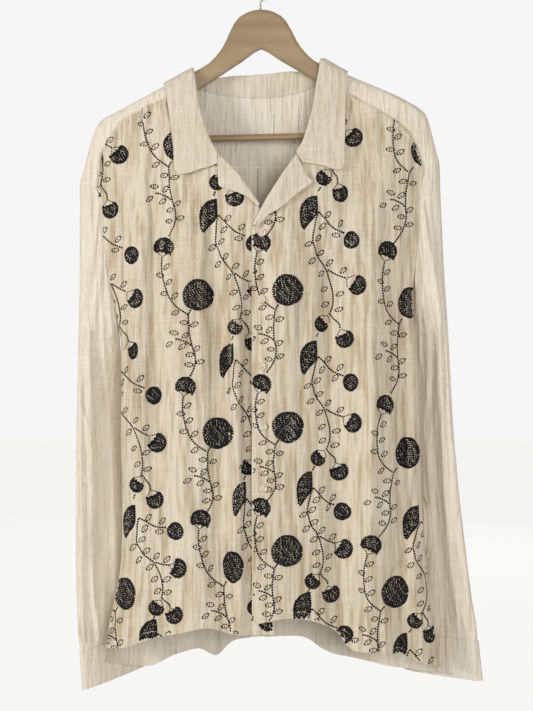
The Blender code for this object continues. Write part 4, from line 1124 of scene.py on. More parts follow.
def pleat_path(loose):
    """Half of the box pleat from its middle out, as x and layer. loose is 0 where it is pressed."""
    reach, bend = PLEAT_HALF_WIDTH, PLEAT_BEND
    under = PLEAT_UNDER + (PLEAT_UNDER_LOOSE - PLEAT_UNDER) * loose
    knots = np.array([
        (0, 2), (reach * 0.5, 2), (reach - bend, 2), (reach, 1.5), (reach - bend, 1), (under + bend, 1),
        (under, 0.5), (under + bend, 0), (reach + 4, 0), (reach + 16, 0),
    ])
    return between_rows(knots, np.linspace(0, len(knots) - 1, 28))


def back_net(seam, side_columns, rows):
    """Middle of the back's wall, from the yoke's back seam to the hem."""
    down = np.linspace(0, 1, rows + 1)
    edges = [along(rows_of, down) for rows_of in (SIDE_RIGHT, SIDE_LEFT)]
    spread = np.sin(np.linspace(0, 1, side_columns + 1)[1:] * math.pi / 2 * 0.85)
    spread /= spread[-1]
    hem_z = reader(HEM_BACK)
    order = np.argsort(seam[:, 0])
    net = []
    for row, part in enumerate(down):
        loose = float(smoothstep(0.05, 0.7, part))
        path = pleat_path(loose)
        path = np.vstack([path[::-1] * [-1, 1], path[1:]])
        x_mid = PLEAT_X + path[:, 0]
        blend = float(smoothstep(0, 0.04, part))
        left = seam[0, 0] + (edges[0][row, 0] - seam[0, 0]) * blend
        right = seam[-1, 0] + (edges[1][row, 0] - seam[-1, 0]) * blend
        x = np.concatenate([(x_mid[0] + (left - x_mid[0]) * spread)[::-1], x_mid,
                            x_mid[-1] + (right - x_mid[-1]) * spread])
        flat = np.zeros(side_columns)
        lift = np.concatenate([flat, path[:, 1], flat]) * (PLEAT_LAYER + PLEAT_PUFF * loose)
        top_z = np.interp(x, seam[order, 0], seam[order, 2]) - YOKE_GAP
        z = top_z + (hem_z(x) - top_z) * part
        across = np.clip((2 * x - left - right) / (right - left), -1, 1)
        side_z = np.where(x < 0, edges[0][row, 1], edges[1][row, 1])
        toward = smoothstep(0.8, 1.0, np.abs(across)) * smoothstep(0, 0.05, part)
        toward = toward * smoothstep(0, 0.05, 1 - part)
        z = z * (1 - toward) + side_z * toward
        folds = fold_depth(x, z, BACK_FOLDS) * smoothstep(0, 30, np.abs(x - PLEAT_X) - 30)
        y = body_y(x, z, 1) + side_shift(x, z) + lift + folds
        inset = CLOTH / 2 * np.sign(across) * smoothstep(0.6, 1.0, np.abs(across))
        net.append(np.stack([x - inset, y, z], axis=-1))
    return np.array(net)


BACK_SIDE_COLUMNS, BACK_ROWS = 50, 200
back_middle = back_net(np.vstack([net[-1] for net in yoke]), BACK_SIDE_COLUMNS, BACK_ROWS)
back_x, back_z = back_middle[..., 0], back_middle[..., 2]
off_pleat = smoothstep(24, 44, np.abs(back_x - PLEAT_X))
back_height = crease_height(back_x, back_z, BACK_CREASES) + washed(back_x, back_z, 31)
back_height = back_height * smoothstep(0, 14, from_side(back_x, back_z))
back_middle = raised(back_middle, back_height * (0.15 + 0.85 * off_pleat), BACKWARDS)
back = make_wall("back_cloth", [back_middle], THIN_CLOTH, cotton, BACKWARDS)

# %% [markdown]
# ## Sleeves and cuffs
#
# A sleeve is a flattened tube that hangs from the armhole beside the body and turns back a
# little below the elbow. Ring after ring of points goes round it, from the armhole's own loop
# to the cuff's seam. Long soft folds run down it, and small pleats gather it into the cuff.

# %% Sleeve tables
SLEEVE_RIGHT = [
    # z, outer x, inner x, outer y, inner y, half depth
    (-270, -231, -214, 3, 4, 13),
    (-340, -232, -209, 3, 4, 15),
    (-421, -233.5, -197, 4, 5, 16),
    (-476, -235, -187, 6, 9, 17),
    (-510, -236, -184, 7, 30, 18),
    (-560, -237, -178, 8, 50, 18),
    (-635, -238.8, -171, 8, 56, 18),
    (-774, -239, -166, 8, 58, 18),
    (-839, -238, -160, 10, 62, 16),
    (-900, -234, -152, 16, 66, 12),
    (-960, -231, -152, 18, 64, 11),
]
SLEEVE_LEFT = [
    # z, outer x, inner x, outer y, inner y, half depth
    (-255, 236, 217, 3, 4, 13),
    (-308, 238, 212, 3, 4, 15),
    (-383, 240.5, 208, 4, 5, 16),
    (-440, 244, 206, 6, 9, 17),
    (-475, 246.5, 208, 7, 30, 18),
    (-522, 249, 207, 8, 50, 18),
    (-600, 253, 203, 8, 56, 18),
    (-700, 262, 203, 8, 58, 18),
    (-800, 274, 205, 8, 60, 17),
    (-879, 286, 201, 14, 66, 13),
    (-940, 293, 195, 16, 64, 11),
]
SLEEVE_WAVES, SLEEVE_WAVE_DEPTH = 5, 3.0
CUFF_RIGHT_SEAM_Z, CUFF_LEFT_SEAM_Z = -896.0, -882.0
CUFF_RIGHT_TILT, CUFF_LEFT_TILT = 0.30, 0.06
CUFF_HEIGHT, CUFF_LAP, CUFF_LAP_LIFT = 52.0, 0.10, 2.9
CUFF_START = math.radians(250)
SEAM_GAP = 0.1
SLEEVE_CREASES_RIGHT = [
    # turn at the top, top z, turn at the foot, foot z, half width in degrees, depth
    (40, -300, 60, -520, 9, 1.8),
    (95, -330, 85, -640, 9, -2.0),
    (130, -360, 118, -560, 8, 1.6),
    (62, -480, 48, -800, 9, 1.9),
    (110, -600, 122, -860, 8, 1.8),
    (84, -680, 76, -880, 7, -1.6),
    (30, -600, 36, -860, 8, -1.5),
    (150, -420, 140, -700, 8, -1.6),
    (205, -330, 215, -600, 9, 1.7),
    (240, -380, 232, -760, 9, -1.8),
    (275, -340, 282, -640, 9, 1.8),
    (310, -420, 300, -820, 9, 1.6),
    (255, -620, 262, -860, 8, 1.5),
    (225, -640, 218, -870, 8, -1.6),
    (20, -560, 75, -610, 7, 1.3),
    (15, -640, 70, -690, 7, -1.2),
]
SLEEVE_CREASES_LEFT = [
    # turn at the top, top z, turn at the foot, foot z, half width in degrees, depth
    (48, -290, 66, -500, 9, 1.8),
    (100, -310, 92, -600, 9, -2.0),
    (140, -350, 128, -560, 8, 1.7),
    (70, -460, 54, -780, 9, 2.0),
    (116, -560, 126, -850, 8, 1.8),
    (88, -640, 80, -870, 7, -1.7),
    (34, -560, 40, -850, 8, -1.6),
    (152, -420, 146, -720, 8, -1.5),
    (210, -320, 218, -580, 9, 1.6),
    (238, -400, 230, -740, 9, -1.7),
    (272, -330, 280, -620, 9, 1.8),
    (306, -440, 298, -800, 9, 1.7),
    (258, -600, 264, -850, 8, 1.5),
    (222, -620, 214, -860, 8, -1.5),
    (25, -700, 80, -745, 7, 1.3),
    (20, -770, 72, -810, 7, -1.3),
]
print("creases on the sleeves:", len(SLEEVE_CREASES_RIGHT) + len(SLEEVE_CREASES_LEFT))

# %% Nets of the sleeves and cuffs
def sleeve_ring(table, z, turn, waves):
    """A point of the sleeve's section at height z. turn is 0 at its outer fold."""
    rows = np.array(table, float)[::-1]
    outer, inner, outer_y, inner_y, half = (np.interp(z, rows[:, 0], rows[:, k]) for k in range(1, 6))
    cos, sin = np.cos(turn), np.sin(turn)
    part = 0.5 - 0.5 * np.sign(cos) * np.abs(cos) ** 0.85
    ripple = waves * np.cos(SLEEVE_WAVES * 2 * turn) * np.abs(sin)
    x = outer + (inner - outer) * part
    y = outer_y + (inner_y - outer_y) * part - (half + ripple) * np.sign(sin) * np.abs(sin) ** 0.85
    return np.stack(np.broadcast_arrays(x, y, z), axis=-1)


def armhole(wearer_left, columns):
    """The armhole's loop: from the top of the yoke's end, down the front and up the back."""
    side_rows = SIDE_LEFT if wearer_left else SIDE_RIGHT
    seam = YOKE_SEAM_LEFT if wearer_left else YOKE_SEAM_RIGHT
    underarm = UNDERARM_LEFT_Z if wearer_left else UNDERARM_RIGHT_Z
    outward = 1.0 if wearer_left else -1.0
    end_x, end_z = YOKE_END_LEFT if wearer_left else YOKE_END_RIGHT
    side = along(side_rows, np.linspace(0, 1, 300))
    side = side[side[:, 1] > underarm]
    ridge_x = seam[0][0] + outward * YOKE_FALL
    halves = []
    for face, first in ((-1, seam[0]), (1, (end_x, end_z))):
        drop = face * (shoulder_z(first[0]) - first[1])
        parts = np.linspace(0, 1, 20)[:, None]
        over = np.array([ridge_x, 0.0]) + (np.array([first[0], drop]) - [ridge_x, 0.0]) * parts
        over = on_body(over[:, 0], over[:, 1] + face * 1e-3, np.zeros(20))
        down = np.stack([side[:, 0], body_y(side[:, 0], side[:, 1], face), side[:, 1]], axis=-1)
        halves.append(along(np.vstack([over, down[6::6]]), np.linspace(0, 1, columns // 2 + 1)))
    loop = np.vstack([halves[0], halves[1][-2:0:-1]])
    loop[columns // 2] = (halves[0][-1] + halves[1][-1]) / 2
    return loop + [outward * ARMHOLE_GAP, 0, -ARMHOLE_GAP]


def sleeve_net(wearer_left, columns, rows):
    """Middle of a sleeve's wall, ring by ring from the armhole's loop to the cuff's seam."""
    table = SLEEVE_LEFT if wearer_left else SLEEVE_RIGHT
    loop = armhole(wearer_left, columns)
    turn = np.linspace(0, 2 * math.pi, columns, endpoint=False)
    seam_z = CUFF_LEFT_SEAM_Z if wearer_left else CUFF_RIGHT_SEAM_Z
    tilt = CUFF_LEFT_TILT if wearer_left else CUFF_RIGHT_TILT
    foot = sleeve_ring(table, seam_z + 0 * turn, turn, 0.0)
    foot_z = seam_z + tilt * np.abs(foot[:, 0] - foot[0, 0])
    net = []
    for part in np.linspace(0, 1, rows + 1):
        z = loop[:, 2] + (foot_z - loop[:, 2]) * part
        waves = SLEEVE_WAVE_DEPTH * float(smoothstep(0.1, 0.4, part) * (1 - smoothstep(0.96, 1, part)))
        ring = sleeve_ring(table, z, turn, waves)
        start = sleeve_ring(table, loop[:, 2], turn, 0.0)
        net.append(ring + (loop - start) * (1 - smoothstep(0, 0.3, part)))
    net = np.array(net)
    return np.concatenate([net, net[:, :1]], axis=1)


def cuff_net(wearer_left, columns, rows):
    """A cuff's strip: once round the wrist and a little further, over its own start."""
    table = SLEEVE_LEFT if wearer_left else SLEEVE_RIGHT
    seam_z = CUFF_LEFT_SEAM_Z if wearer_left else CUFF_RIGHT_SEAM_Z
    tilt = CUFF_LEFT_TILT if wearer_left else CUFF_RIGHT_TILT
    parts = np.linspace(0, 1 + CUFF_LAP, columns + 1)
    turn = CUFF_START + parts * 2 * math.pi
    outer_x = sleeve_ring(table, np.array([seam_z]), np.zeros(1), 0.0)[0, 0]
    net = []
    for part in np.linspace(0, 1, rows + 1):
        ring = sleeve_ring(table, seam_z - CUFF_HEIGHT * part + 0 * turn, turn, 0.0)
        run = np.gradient(ring, axis=0)
        away = np.stack([run[:, 1], -run[:, 0], 0 * turn], axis=-1)
        away /= np.linalg.norm(away, axis=1, keepdims=True)
        away *= np.sign((away * (ring - ring.mean(axis=0))).sum())
        ring = ring + away * (CUFF_LAP_LIFT * smoothstep(0.7, 1.0, parts))[:, None]
        ring[:, 2] += tilt * np.abs(ring[:, 0] - outer_x) - SEAM_GAP
        net.append(ring)
    return np.array(net)

# %% [markdown]
# A sleeve's relief is laid out round its turn, so that it meets itself at the closing line. The
# plain net has a corner where it turns back, and cloth doesn't turn so hard, so the net is
# averaged along its length many times before the relief goes on.

# %% Relief of the sleeves and cuffs
EASE_PASSES = 90
GATHERS, SLEEVE_PUCKERS = 26, 31
SLEEVE_COLUMNS, SLEEVE_ROWS = 104, 200
CUFF_COLUMNS, CUFF_ROWS = 120, 22


def turned_height(net, creases, seed, gathered_z):
    """Creases, gathers at the cuff and crinkle on a sleeve, laid out round its turn."""
    columns = net.shape[1]
    turn = np.broadcast_to(np.linspace(0, 360, columns), net.shape[:2])
    z = net[..., 2]
    height = np.zeros(z.shape)
    for top_turn, top_z, foot_turn, foot_z, width, depth in creases:
        part = (top_z - z) / (top_z - foot_z)
        line = top_turn + (foot_turn - top_turn) * part
        off = (turn - line + 180) % 360 - 180
        fade = smoothstep(0, 0.25, part) * (1 - smoothstep(0.7, 1, part))
        height += depth * fade * np.exp(-(off / width) ** 2)
    around = run_down(net.transpose(1, 0, 2)).T
    top = np.linspace(0, 1, len(net))[:, None]
    seam = 1 - smoothstep(0.955, 1.0, top)
    closing = smoothstep(0, 0.08, turn / 360) * smoothstep(0, 0.08, 1 - turn / 360)
    ripple = washed(around, z, seed) * closing
    gathers = 1.5 * np.cos(np.radians(turn) * GATHERS + 1.5 * np.sin(np.radians(turn) * 3))
    gathers = gathers * (1 - smoothstep(8, 62, z - gathered_z)) * seam
    puckers = 0.7 * np.cos(np.radians(turn) * SLEEVE_PUCKERS)
    puckers = puckers * (1 - smoothstep(0.0, 0.06, top)) * smoothstep(0.0, 0.012, top)
    return (height + ripple) * seam * smoothstep(0.0, 0.03, top) + gathers + puckers


def away_from_axis(net, heights):
    """Moves a tube's points along its normals, away from its own middle line."""
    normals = net_normals(net)
    normals[:, 0] = normals[:, -1] = (normals[:, 0] + normals[:, -1]) / 2
    middle = net[:, :-1].mean(axis=1, keepdims=True)
    if (normals * (net - middle)).sum() < 0:
        normals = -normals
    moved = net + normals * heights[..., None]
    moved[:, -1] = moved[:, 0]
    return moved


def eased(net, passes):
    """The net with its turns along the sleeve softened. Its first and last rows stay in place."""
    for _ in range(passes):
        net = np.concatenate([net[:1], (net[:-2] + 2 * net[1:-1] + net[2:]) / 4, net[-1:]])
    return net


sleeves, cuffs = {}, {}
for side, wearer_left, creases, seed, seam_z in (
        ("right", False, SLEEVE_CREASES_RIGHT, 41, CUFF_RIGHT_SEAM_Z),
        ("left", True, SLEEVE_CREASES_LEFT, 51, CUFF_LEFT_SEAM_Z)):
    net = eased(sleeve_net(wearer_left, SLEEVE_COLUMNS, SLEEVE_ROWS), EASE_PASSES)
    net = away_from_axis(net, turned_height(net, creases, seed, seam_z))
    sleeves[side] = make_wall(f"sleeve_{side}_cloth", [net], THIN_CLOTH, cotton, "outwards")
    cuff = cuff_net(wearer_left, CUFF_COLUMNS, CUFF_ROWS)
    ripple = 0.35 * crinkle(np.arange(CUFF_COLUMNS + 1)[None] * 2.0, cuff[..., 2], 9.0, 60.0, 61)
    cuff = raised(cuff, ripple, FORWARDS)
    cuffs[side] = (cuff, make_wall(f"cuff_{side}_cloth", [cuff], CUFF_CLOTH, cotton))

# %% [markdown]
# ## Collar and lapels
#
# The collar's section goes up from the neck seam, over a tight roll and down to the free edge. Its
# few rows are joined by a smooth curve, and a slight wave along the edge keeps it from looking
# cut from card.

# %% Fold the collar and the lapels
def turned_net(table, places, gap):
    """Middle of a collar's or lapel's wall: up from its seam, over the roll line and down."""
    rows = between_rows(table, places)
    seam, roll, edge = rows[:, 0:2], rows[:, 2:4], rows[:, 4:6]
    high = rows[:, 6]
    stand = np.linalg.norm(roll - seam, axis=1)
    leaf = np.linalg.norm(edge - roll, axis=1)
    bend = np.minimum(1.3, stand * 0.4)
    sections = [
        (seam, roll, gap / stand, STAND_LIFT + 0 * stand),
        (seam, roll, 0.5 + 0 * stand, STAND_LIFT + 0 * stand),
        (seam, roll, 1 - bend / stand, high * 0.08),
        (seam, roll, 1 + 0 * stand, high * 0.5),
        (roll, edge, np.minimum(1.3, leaf * 0.2) / leaf, high * 0.93),
        (roll, edge, np.minimum(6, leaf * 0.4) / leaf, high),
        (roll, edge, 0.6 + 0 * leaf, high * 0.5 + EDGE_LIFT * 0.5),
        (roll, edge, 1 + 0 * leaf, EDGE_LIFT + 0 * leaf),
    ]
    net = []
    for first, second, part, lift in sections:
        place = first + (second - first) * part[:, None]
        net.append(on_body(place[:, 0], place[:, 1], lift))
    return np.array(net)


def lapel_table(rows):
    """A lapel's rows with drops in place of heights."""
    table = []
    for seam_x, seam_z, roll_x, roll_z, edge_x, edge_z in rows:
        drops = [float(z - shoulder_z(x)) for x, z in
                 ((seam_x, seam_z), (roll_x, roll_z), (edge_x, edge_z))]
        table.append((seam_x, drops[0], roll_x, drops[1], edge_x, drops[2], LAPEL_LIFT))
    return table


def smooth_rows(net, rows):
    """More rows on smooth curves through the rows of a net."""
    count, columns, _ = net.shape
    fine = between_rows(net.reshape(count, -1), np.linspace(0, count - 1, rows))
    return fine.reshape(rows, columns, 3)


def leaf_wave(net, seed):
    """A soft uneven wave that grows towards the free edge of a collar or lapel."""
    rows, columns = net.shape[:2]
    part = smoothstep(0.45, 1.0, np.linspace(0, 1, rows))[:, None]
    length = run_length(net[-1])[None]
    wave = 0.9 * crinkle(length, part * 30, 34.0, 60.0, seed)
    wave = wave + 0.3 * crinkle(length, part * 30, 9.0, 25.0, seed + 1)
    return wave * (0.15 + 0.85 * part)


COLLAR_COLUMNS, COLLAR_ROWS = 230, 44
LAPEL_COLUMNS, LAPEL_ROWS = 90, 40
FOLD_GAP = 0.2
collar_net = smooth_rows(turned_net(COLLAR, collar_places(COLLAR_COLUMNS), FOLD_GAP), COLLAR_ROWS)
collar_net = raised(collar_net, leaf_wave(collar_net, 71), FORWARDS)
collar = make_wall("collar_cloth", [collar_net], COLLAR_CLOTH, collar_cotton)
lapels = {}
for side, rows in (("right", LAPEL_RIGHT), ("left", LAPEL_LEFT)):
    net = turned_net(lapel_table(rows), np.linspace(0, len(rows) - 1, LAPEL_COLUMNS), FOLD_GAP)
    net = smooth_rows(net, LAPEL_ROWS)
    net = raised(net, leaf_wave(net, 81), FORWARDS)
    lapels[side] = (net, make_wall(f"lapel_{side}_cloth", [net], COLLAR_CLOTH, collar_cotton))

# %% [markdown]
# ## Pocket mouth and label
#
# The pocket is sewn into the side seam, and only the facing of its mouth shows where it gapes.
# The label inside the neck is a bare woven patch, sewn down at its four corners.

# %% Pocket mouth and label
def pocket_net(columns, rows):
    """Middle of the pocket's facing, which gapes from the side seam."""
    z = np.linspace(POCKET_TOP_Z, POCKET_FOOT_Z, rows + 1)[:, None]
    part = np.linspace(0, 1, columns + 1)[None]
    gape = POCKET_GAPE * np.sin(math.pi * (POCKET_TOP_Z - z) / (POCKET_TOP_Z - POCKET_FOOT_Z)) + 1.2
    x = side_left_x(z) + 1.1 + gape * part
    y = SIDE_Y - 2.0 - 8.0 * part ** 1.4
    return np.stack(np.broadcast_arrays(x, y, z), axis=-1)


def label_net(columns, rows):
    """The face of the label that lies against the yoke."""
    width, height = LABEL_SIZE
    x = LABEL_CENTRE[0] + np.linspace(-width / 2, width / 2, columns + 1)[None]
    z = LABEL_CENTRE[1] + np.linspace(height / 2, -height / 2, rows + 1)[:, None]
    y = body_y(x, z, 1) - CLOTH - SEAT_GAP
    return np.stack(np.broadcast_arrays(x, y, z), axis=-1)


pocket_mouth_net = pocket_net(10, 48)
pocket_mouth = make_wall("pocket_mouth_cloth", [pocket_mouth_net], THIN_CLOTH, cotton)
label_points = label_net(30, 24)
label = make_wall("label_cloth", [label_points], THIN_CLOTH * 0.8, label_cotton, BACKWARDS)

# %% Put the cloth in the place of its nodes
dress(front_right, "front_right")
dress(front_left, "front_left")
dress(back, "back")
dress(yoke_cloth, "yoke")
dress(collar, "collar")
for side in ("right", "left"):
    dress(lapels[side][1], f"lapel_{side}")
    dress(sleeves[side], f"sleeve_{side}")
    dress(cuffs[side][1], f"cuff_{side}")
dress(pocket_mouth, "pocket_mouth")
dress(label, "label")

# %% [markdown]
# ## How a stitch is made
#
# Hand embroidery of this kind is running stitch: a short raised dash of thread, then a gap of bare
# cloth. Each dash is a small closed lump with six points round its foot and two along its ridge,
# which is enough to catch the light and light enough to sew ten thousand of them. They are sewn by
# casting a ray onto the cloth, so that each lies on the fold where it falls.

# %% Cast rays onto the cloth
AHEAD_Y = -400.0


def as_tree(net):
    """The net as a surface that rays can be cast onto."""
    rows, columns = net.shape[:2]
    index = np.arange(rows * columns).reshape(rows, columns)
    quads = np.stack([index[:-1, :-1], index[1:, :-1], index[1:, 1:], index[:-1, 1:]], axis=-1)
    return BVHTree.FromPolygons(net.reshape(-1, 3).tolist(), quads.reshape(-1, 4).tolist())


def struck(tree, start, direction):
    """Where a ray meets the cloth, with the normal on its front, or None."""
    point, normal, _, _ = tree.ray_cast(start, direction)
    if point is None:
        return None
    return point, normal if normal.y < 0 else -normal


def onto(tree, x, z):
    """Where a straight ray from the front meets the cloth."""
    return struck(tree, Vector((x, AHEAD_Y, z)), BACKWARDS)


trees = {"right": as_tree(front_right_net), "left": as_tree(front_left_net)}
print("cloth in front at the waist, y in mm:", round(onto(trees["right"], -60.0, WAIST_Z)[0].y, 1))

# %% Sew stitches into one mesh
STITCH_POINTS = ((-0.5, 0, 0), (-0.4, -1, 0), (0.4, -1, 0), (0.5, 0, 0), (0.4, 1, 0), (-0.4, 1, 0),
                 (-0.28, 0, 1), (0.28, 0, 1))
STITCH_FACES = ((0, 1, 6), (1, 2, 7, 6), (2, 3, 7), (3, 4, 7), (4, 5, 6, 7), (5, 0, 6), (5, 4, 3, 2, 1, 0))
STITCH_SINK, FURTHEST_DROP = 0.12, 4.0


def settled(points, heights, tree):
    """Lumps with each of their points dropped onto the cloth, so that no crinkle pokes through."""
    for lump, height in zip(points, heights):
        for corner, point in enumerate(lump):
            hit = onto(tree, point[0], point[2])
            if hit is not None and abs(hit[0].y - point[1]) < FURTHEST_DROP:
                lift = height / max(-hit[1].y, 0.5) if corner > 5 else -STITCH_SINK
                point[1] = hit[0].y - lift
    return points


def sew(name, stitches, material, tree=None):
    """One mesh of stitches, each given as its two ends, a normal, a width and a height."""
    starts, ends, normals, widths, heights = (np.array(part, float) for part in zip(*stitches))
    middles = (starts + ends) / 2
    runs = ends - starts
    lengths = np.linalg.norm(runs, axis=1, keepdims=True)
    runs /= np.maximum(lengths, 1e-6)
    sides = np.cross(normals, runs)
    sides /= np.maximum(np.linalg.norm(sides, axis=1, keepdims=True), 1e-6)
    ups = np.cross(runs, sides)
    half_width, height = widths[:, None] / 2, heights[:, None]
    points = []
    for forward, sideways, up in STITCH_POINTS:
        lift = height if up else -STITCH_SINK
        points.append(middles + runs * lengths * forward + sides * half_width * sideways + ups * lift)
    points = np.stack(points, axis=1)
    if tree is not None:
        points = settled(points, heights, tree)
    points = points.reshape(-1, 3) * MM
    faces = [tuple(8 * number + corner for corner in face)
             for number in range(len(stitches)) for face in STITCH_FACES]
    data = bpy.data.meshes.new(name)
    data.from_pydata(points.tolist(), [], faces)
    data.materials.append(material)
    item = bpy.data.objects.new(name, data)
    bpy.context.collection.objects.link(item)
    bpy.context.view_layer.objects.active = item
    item.select_set(True)
    bpy.ops.object.shade_smooth_by_angle(angle=math.radians(75))
    item.select_set(False)
    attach(item, "root")
    print(f"{name}: {len(stitches)} stitches, {12 * len(stitches)} triangles")

# %% [markdown]
# ## The vines' charts
#
# Two vines take turns across each front, and each repeats down the cloth. They are charted on
# squares of 1.3 mm, counted across and down from one motif of each repeat. The first vine carries
# a large round flower; its stem rises to a cup-shaped bud on the left. The second carries a
# curved drop, and three side branches that end in a round head and two cupped ones.

# %% First vine, counted from its round flower
SQUARE = 1.3
CHART_CENTRE = (266.5, 355.5)
ROUND_REPEAT = 137.0
ROUND_STEMS = [
    [(-30.5, -38), (-32.7, -25), (-32.2, -11.8), (-29.5, 1.8), (-25.9, 8.5), (-21.4, 13.4),
     (-12.5, 19.7)],
    [(-8.9, 14.2), (-12.5, 19.7), (-13.4, 29.5), (-14.3, 37), (-13.4, 50.4), (-11.7, 60.2), (-13.4, 70),
     (-17.9, 78.1), (-21.9, 83.4)],
    [(-13.9, 50.4), (-17, 47.6), (-20.7, 45.9), (-25.5, 44), (-29.5, 43.7)],
]
ROUND_LEAVES = [
    # across, down, end of the leaf's axis on the stem across, down
    (-27.3, -28.1, -32.4, -22.5), (-34.9, -19.6, -32.5, -14.5), (-27.3, -12.9, -32.0, -8.5),
    (-33.8, -1.4, -29.0, 3.5), (-23.6, 1.0, -26.5, 7.6), (-25.2, 17.6, -19.5, 15.0),
    (-18.2, 27.4, -13.4, 29.5), (-8.0, 29.2, -13.4, 29.5),
    (-36, 49, -29.5, 43.7), (-29.5, 37.6, -28.5, 43.7), (-18.7, 40.0, -20.7, 45.9),
    (-23.2, 51.2, -19.5, 46.4), (-8.9, 53.2, -12.6, 56.5), (-16.9, 59.2, -12.0, 61.5),
    (-7.6, 66.4, -12.9, 67.6), (-19.2, 69.2, -15.0, 73.0),
]
ROUND_CUPS = [
    # foot across, down, head's middle across, down, head's width
    (-30.5, -38, -26.8, -48.6, 21),
]

# %% Second vine, counted from its curved drop
DROP_REPEAT = 144.5
DROP_DRIFT = 18.1
DROP_OUTLINE = [
    (8, -16), (9, -7), (9, 0.5), (5.8, 6), (0.5, 10.8), (-2.8, 15), (-4.8, 17.5), (-7, 15.3), (-8.5, 8),
    (-9, -0.5), (-6.8, -8), (-1.5, -13.5), (4, -16),
]
DROP_STEMS = [
    [(9.6, -0.7), (8.2, 7), (7.9, 14.5), (7.4, 27), (10.6, 35.5), (14.1, 44), (23.9, 56.5), (29.3, 69.5),
     (32, 79.5), (33.3, 92.2), (31.5, 103.8)],
    [(9.6, -0.7), (15, 4.5), (24.8, 14.5), (32, 18.5), (38.5, 21)],
    [(25.7, 57.4), (33.6, 62.7), (40.5, 66)],
    [(32.3, 102), (35.5, 107), (39.5, 111.5), (40.5, 117)],
    [(25, 120), (23, 125)],
]
DROP_LEAVES = [
    # across, down, end of the leaf's axis on the stem across, down
    (19.5, 2.6, 16.5, 7.4), (15.6, 14.2, 18.5, 9.8), (33.3, 11.5, 29.5, 17), (30.2, 23.0, 29.5, 17.6),
    (12.8, 26, 8.6, 30.5), (3.8, 32.0, 8.4, 30.0), (17.2, 40.8, 12.5, 42), (9.6, 48.8, 14.6, 45.5),
    (27.2, 50.6, 22.5, 54.5), (20.4, 61.4, 25.0, 59.0), (37.6, 58.2, 34, 62.7), (25.2, 77.0, 31.0, 75.5),
    (37.3, 81.6, 32.3, 80.5), (28.0, 92.2, 32.8, 90), (38.0, 97.2, 33.2, 95.0),
]
DROP_ROUND_HEADS = [(46.3, 28, 17.5)]
DROP_CUPS = [
    # foot across, down, head's middle across, down, head's width
    (40.5, 66, 49.5, 73.5, 20), (40.5, 117, 45, 127.5, 19), (31.5, 103.8, 26.0, 112.5, 16),
]

# %% Where each repeat is counted from
VINES = {
    # across, down, next one's across and down, width against the chart, rise of the rows to the
    # right, and squares that the lower branches are longer by
    "right": {
        "round": [
            (178.5, 145.6, 198, 295, 1.0, 0, 0), (198, 295, 218, 433, 1.0, 0, 0),
            (218, 433, 233, 567, 1.0, 0, 0), (233, 567, 252, 704, 0.95, 0, 0),
            (124.5, 593.6, 132, 720, 0.8, 0, 0),
        ],
        "drop": [
            (79.7, 80.4, 84.4, 228, 0.95, 0, 0), (84.4, 228, 106.7, 368, 1.0, 0, 0),
            (106.7, 368, 129, 521.2, 1.0, 0.05, 0), (129, 521.2, 148, 644, 1.0, 0.3, 0),
            (148, 636, 168, 780, 1.0, 0.2, 0), (190.3, 71, 208.4, 215.5, 1.0, 0, 0),
            (208.4, 215.5, 226.5, 360, 1.0, 0, 0), (226.5, 360, 239, 499, 0.95, 0, 0),
            (239, 499, 252, 640, 0.75, 0, 0),
        ],
    },
    "left": {
        "round": [
            (287.7, 153, 287.7, 290, 1.0, 0, 0), (287.7, 290, 288, 427, 1.0, 0, 0),
            (288, 427, 287, 551, 1.0, 0, 0), (287, 551, 285, 676, 1.0, 0, 0),
            (424, 151, 410, 303, 1.0, 0, 0), (410, 303, 408, 453, 0.85, 0, 0),
            (408, 453, 395, 592, 1.0, 0, 0), (395, 592, 384, 727, 1.0, 0, 0),
        ],
        "drop": [
            (314, 62, 308.7, 212, 1.05, 0, 0), (308.7, 212, 308.6, 357, 1.0, 0, 8),
            (308.6, 357, 304.5, 488, 1.0, 0, 6), (304.5, 488, 302, 609, 0.9, 0, 5),
            (302, 609, 300, 740, 1.0, 0, 0), (411, 522, 400, 650, 1.0, 0, 0),
            (400, 650, 390, 780, 1.0, 0, 0),
        ],
    },
}
BRANCH_START, BRANCH_LENGTH = 28, 18


def charted(count, kind):
    """A function from one repeat's squares to squares of the whole chart."""
    across, down, next_across, next_down, wide, rise, reach = count
    repeat, own_drift = (ROUND_REPEAT, 0.0) if kind == "round" else (DROP_REPEAT, DROP_DRIFT)
    drift = (next_across - across - own_drift) / repeat
    tall = (next_down - down) / repeat

    def place(x, y):
        longer = reach * max(x - BRANCH_START, 0) / BRANCH_LENGTH * float(smoothstep(40, 60, y))
        return across + x * wide + y * drift + longer, down + y * tall - rise * x

    return place


def on_cloth(tree, square):
    """The place on the cloth that shows at a square of the chart, with its normal, or None."""
    aside, down = square[0] - CHART_CENTRE[0], square[1] - CHART_CENTRE[1]
    aim = Vector((aside * SQUARE, -VIEWPOINT.y, -down * SQUARE))
    return struck(tree, VIEWPOINT, aim.normalized())


print("repeats charted:", sum(len(counts) for vines in VINES.values() for counts in vines.values()))

# %% [markdown]
# ## Working the motifs
#
# A stem is one row of stitches at an even pitch, measured along the cloth and not on the chart.
# A leaf is a ring of short stitches round a bare middle, and a flower is filled with parallel
# rows, with a ring of thicker stitches that gives its scalloped edge.

